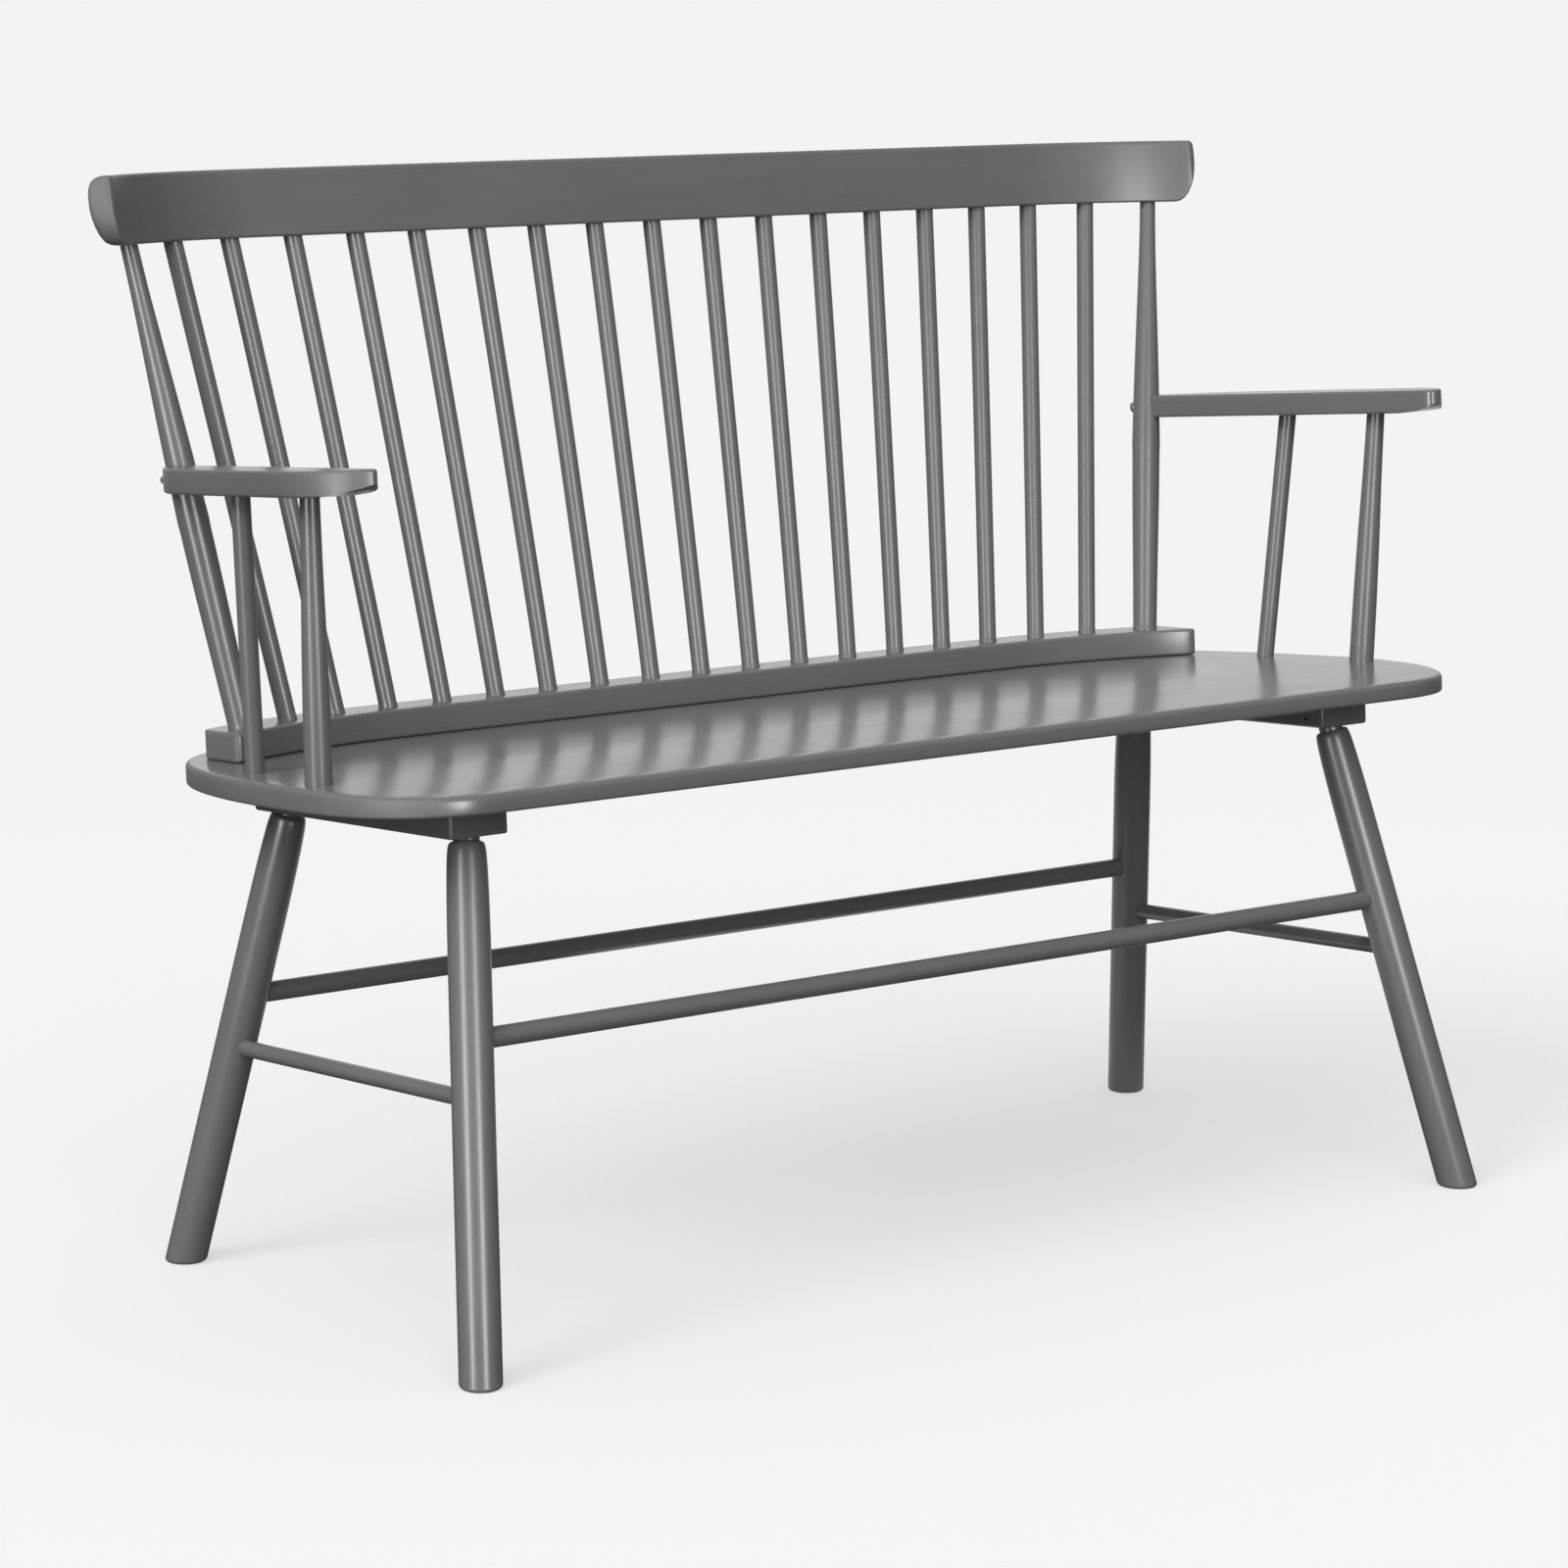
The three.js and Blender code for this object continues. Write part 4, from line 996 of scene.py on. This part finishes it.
def satin_paint(name, grain_scale, gloss, end_dullness):
    """The lacquer for one direction of the grain. Faces that look outward are end grain."""
    material, flow = new_material(name)
    place = flow.node("ShaderNodeTexCoord", output="Object")
    grain_place = flow.node("ShaderNodeMapping", inputs={"Vector": place, "Scale": grain_scale})
    grain = flow.node("ShaderNodeTexNoise", inputs={
        "Vector": grain_place, "Scale": 1.0, "Detail": 4.0, "Roughness": 0.6, "Distortion": 0.3})
    cloud = flow.node("ShaderNodeTexNoise", inputs={
        "Vector": place, "Scale": 9.0, "Detail": 3.0, "Roughness": 0.5})
    spray = flow.node("ShaderNodeTexNoise", inputs={
        "Vector": place, "Scale": 620.0, "Detail": 2.0, "Roughness": 0.5})
    tone = grain.held(0.3, 0.7) * 0.5 + cloud.held(0.3, 0.7) * 0.5
    dark = tuple(value * (1 - tone_spread) for value in paint_grey) + (1,)
    light = tuple(value * (1 + tone_spread) for value in paint_grey) + (1,)
    colour = flow.node("ShaderNodeMix", {"data_type": "RGBA"}, {
        "Factor": tone, 6: dark, 7: light}, output=2)
    facing = flow.node("ShaderNodeNewGeometry", output="Normal")
    facing_x = flow.node("ShaderNodeSeparateXYZ", inputs={"Vector": facing}, output="X")
    place_x = flow.node("ShaderNodeSeparateXYZ", inputs={"Vector": place}, output="X")
    end_grain = (facing_x * place_x).held(0.08, 0.32) * end_dullness
    sheen = gloss + grain.held(0.25, 0.75) * 0.05 + cloud.held(0.3, 0.7) * 0.04 + end_grain
    height = grain * 0.7 + spray * 0.3
    bump = flow.node("ShaderNodeBump", inputs={
        "Height": height, "Strength": 0.08, "Distance": 0.00012})
    shader = flow.node("ShaderNodeBsdfPrincipled", inputs={
        "Base Color": colour, "Roughness": sheen, "Normal": bump, "IOR": 1.5})
    flow.node("ShaderNodeOutputMaterial", inputs={"Surface": shader})
    return material


with_grain, over_grain = 7, 190
paint_across = satin_paint(
    "satin_paint_across", (with_grain, over_grain, over_grain), gloss=0.17, end_dullness=0.34)
paint_crest = satin_paint(
    "satin_paint_crest", (with_grain, over_grain, over_grain), gloss=0.3, end_dullness=0.26)
paint_along = satin_paint(
    "satin_paint_along", (over_grain, with_grain, over_grain), gloss=0.2, end_dullness=0.22)
paint_upright = satin_paint(
    "satin_paint_upright", (over_grain, over_grain, with_grain), gloss=0.3, end_dullness=0)
print("paint", paint_grey)

# %% [markdown]
# Screws and pins are plain plated steel under the seat. Turning marks run round
# their heads, which at this size is a fine uneven sheen.

# %% Plated steel
steel, flow = new_material("plated_steel")
place = flow.node("ShaderNodeTexCoord", output="Object")
marks = flow.node("ShaderNodeTexNoise", inputs={"Vector": place, "Scale": 900.0, "Detail": 2.0})
worn = flow.node("ShaderNodeMix", {"data_type": "RGBA"}, {
    "Factor": marks.held(0.35, 0.65), 6: (0.42, 0.43, 0.44, 1), 7: (0.56, 0.57, 0.58, 1)}, output=2)
metal = flow.node("ShaderNodeBsdfPrincipled", inputs={
    "Base Color": worn, "Roughness": 0.28 + marks * 0.16, "Metallic": 1.0})
flow.node("ShaderNodeOutputMaterial", inputs={"Surface": metal})
print("steel ready")

# %% [markdown]
# Each piece gets the paint whose grain runs its way: across for the seat, the
# rails and the long stretchers, along for the arms and cleats, and upright for
# the spindles, posts, legs and supports. The crest is a little less glossy than
# the seat, so the lamps only show as a soft glow on its bent ends.

# %% Give every piece its finish
across_words = ("seat_board", "spindle_rail", "stretcher_front", "stretcher_rear")
along_words = ("arm_left", "arm_right", "cleat", "stretcher_left", "stretcher_right")


def finish_for(name):
    if name.endswith(".steel") and "_screw_" in name:
        return steel
    if name.startswith("crest_rail"):
        return paint_crest
    if name.startswith(across_words):
        return paint_across
    if name.startswith(along_words):
        return paint_along
    return paint_upright


for piece in dressed:
    piece.data.materials.clear()
    piece.data.materials.append(finish_for(piece.name))
stood_for = {node for piece in dressed for node in piece["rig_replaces"]}
pins = [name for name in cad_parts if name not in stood_for]
for name in pins:
    for material_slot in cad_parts[name].material_slots:
        material_slot.material = steel
print("dressed", len(dressed), "kept from the frame", pins)

# %% [markdown]
# The bench stands in a pale studio. The floor takes the soft shadow and fades
# into the background, so that no horizon shows. In reflections the floor and the
# wall behind the bench are bright, and the rest of the studio is dark.

# %% Floor
backdrop = 0.896
ahead = (math.sin(camera_yaw), math.cos(camera_yaw), 0)
bright_within, dark_beyond = math.radians(24), math.radians(44)
dark_room, bright_wall = 0.07, 0.9
floor_size, floor_drop = 60, 0.0003
shadow_ends, floor_fades = 1.1, 2.2
floor_glow, floor_grey, bounce_grey = 0.538, (0.3, 0.3, 0.3, 1), (0.2, 0.2, 0.2, 1)


def mirrored_room(flow, direction):
    """How bright the studio is in a reflection that leaves in this direction."""
    facing = flow.node("ShaderNodeVectorMath", {"operation": "DOT_PRODUCT"},
                       {0: direction, 1: ahead}, output="Value")
    behind = facing.held(math.cos(dark_beyond), math.cos(bright_within))
    return dark_room + behind * (bright_wall - dark_room)


clear_selection()
bpy.ops.mesh.primitive_plane_add(size=floor_size, location=(0, 0, -floor_drop))
floor = bpy.context.object
floor.name = "studio_floor"
floor_paint, flow = new_material("studio_floor")
place = flow.node("ShaderNodeTexCoord", output="Object")
distance = flow.node("ShaderNodeVectorMath", {"operation": "LENGTH"}, {0: place}, output="Value")
outward = flow.node("ShaderNodeVectorMath", {"operation": "NORMALIZE"}, {0: place})
far = distance.held(shadow_ends, floor_fades)
for_camera = flow.node("ShaderNodeLightPath", output="Is Camera Ray")
for_mirror = flow.node("ShaderNodeLightPath", output="Is Glossy Ray")
white = (1, 1, 1, 1)
glow = flow.node("ShaderNodeEmission", inputs={"Color": white, "Strength": backdrop})
soft_glow = flow.node("ShaderNodeEmission", inputs={"Color": white, "Strength": floor_glow})
matt = flow.node("ShaderNodeBsdfDiffuse", inputs={"Color": floor_grey})
shaded = flow.node("ShaderNodeAddShader", inputs={0: soft_glow, 1: matt})
seen = flow.node("ShaderNodeMixShader", inputs={"Fac": far, 1: shaded, 2: glow})
mirror = flow.node("ShaderNodeEmission", inputs={
    "Color": white, "Strength": mirrored_room(flow, outward)})
plain = flow.node("ShaderNodeBsdfDiffuse", inputs={"Color": bounce_grey})
unseen = flow.node("ShaderNodeMixShader", inputs={"Fac": for_mirror, 1: plain, 2: mirror})
both = flow.node("ShaderNodeMixShader", inputs={"Fac": for_camera, 1: unseen, 2: seen})
flow.node("ShaderNodeOutputMaterial", inputs={"Surface": both})
floor.data.materials.append(floor_paint)
print("floor", floor.name)

# %% [markdown]
# The light is soft and comes from far away, so the floor is lit evenly. A pale
# ceiling leaves the wide shadow under the seat. A key on the left leaves the
# short shadow beside each foot, and a broad fill stands behind the camera. Two
# tall strips show only as the pair of bright lines on every turned piece.

# %% Room and lamps
world = bpy.data.worlds.new("studio")
bpy.context.scene.world = world
world.use_nodes = True
world.node_tree.nodes.clear()
flow = Flow(world.node_tree, None)
direction = flow.node("ShaderNodeTexCoord", output="Generated")
is_camera = flow.node("ShaderNodeLightPath", output="Is Camera Ray")
is_mirror = flow.node("ShaderNodeLightPath", output="Is Glossy Ray")
upward = flow.node("ShaderNodeSeparateXYZ", inputs={"Vector": direction}, output="Z")
ambient, ceiling = 0.08, 0.8
lit = ambient + upward.held(0, 1) * ceiling
strength = is_camera * backdrop + (1 - is_camera) * (
    is_mirror * mirrored_room(flow, direction) + (1 - is_mirror) * lit)
glow = flow.node("ShaderNodeBackground", inputs={"Color": white, "Strength": strength})
flow.node("ShaderNodeOutputWorld", inputs={"Surface": glow})


def lamp_at(kind, name, place, aim):
    clear_selection()
    turn = (Vector(place) - Vector(aim)).to_track_quat("Z", "Y").to_euler()
    bpy.ops.object.light_add(type=kind, location=place, rotation=turn)
    lamp = bpy.context.object
    lamp.name = name
    return lamp


def far_light(name, place, spread, strength):
    """A wide soft light that reaches the whole floor alike and is never mirrored."""
    lamp = lamp_at("SUN", name, place, aim=(0, 0, 0))
    lamp.data.angle = math.radians(spread)
    lamp.data.energy = strength
    lamp.visible_glossy = False


def strip(name, place, width, height, power):
    """A tall strip that is only seen in reflections."""
    lamp = lamp_at("AREA", name, place, aim=(0, 0, place[2]))
    lamp.data.shape = "RECTANGLE"
    lamp.data.size, lamp.data.size_y = width, height
    lamp.data.energy = power
    lamp.visible_diffuse = False


far_light("key", (-3.2, -0.5, 2.6), 26, 1.8)
far_light("fill", (-2.2, -3.3, 2.3), 60, 1.8)
strip("left_strip", (-3.34, -1.05, 0.9), 0.5, 1.8, 86)
strip("right_strip", (-0.64, -3.44, 0.9), 0.66, 1.8, 92)
bpy.context.scene.view_settings.view_transform = "Standard"
print("lamps", [lamp.name for lamp in bpy.data.lights])

# %% [markdown]
# Last, the selection is cleared. The dressed bench has to stay in the same box
# as the frame, because the frame's size is the real one.

# %% Clear the selection
clear_selection()
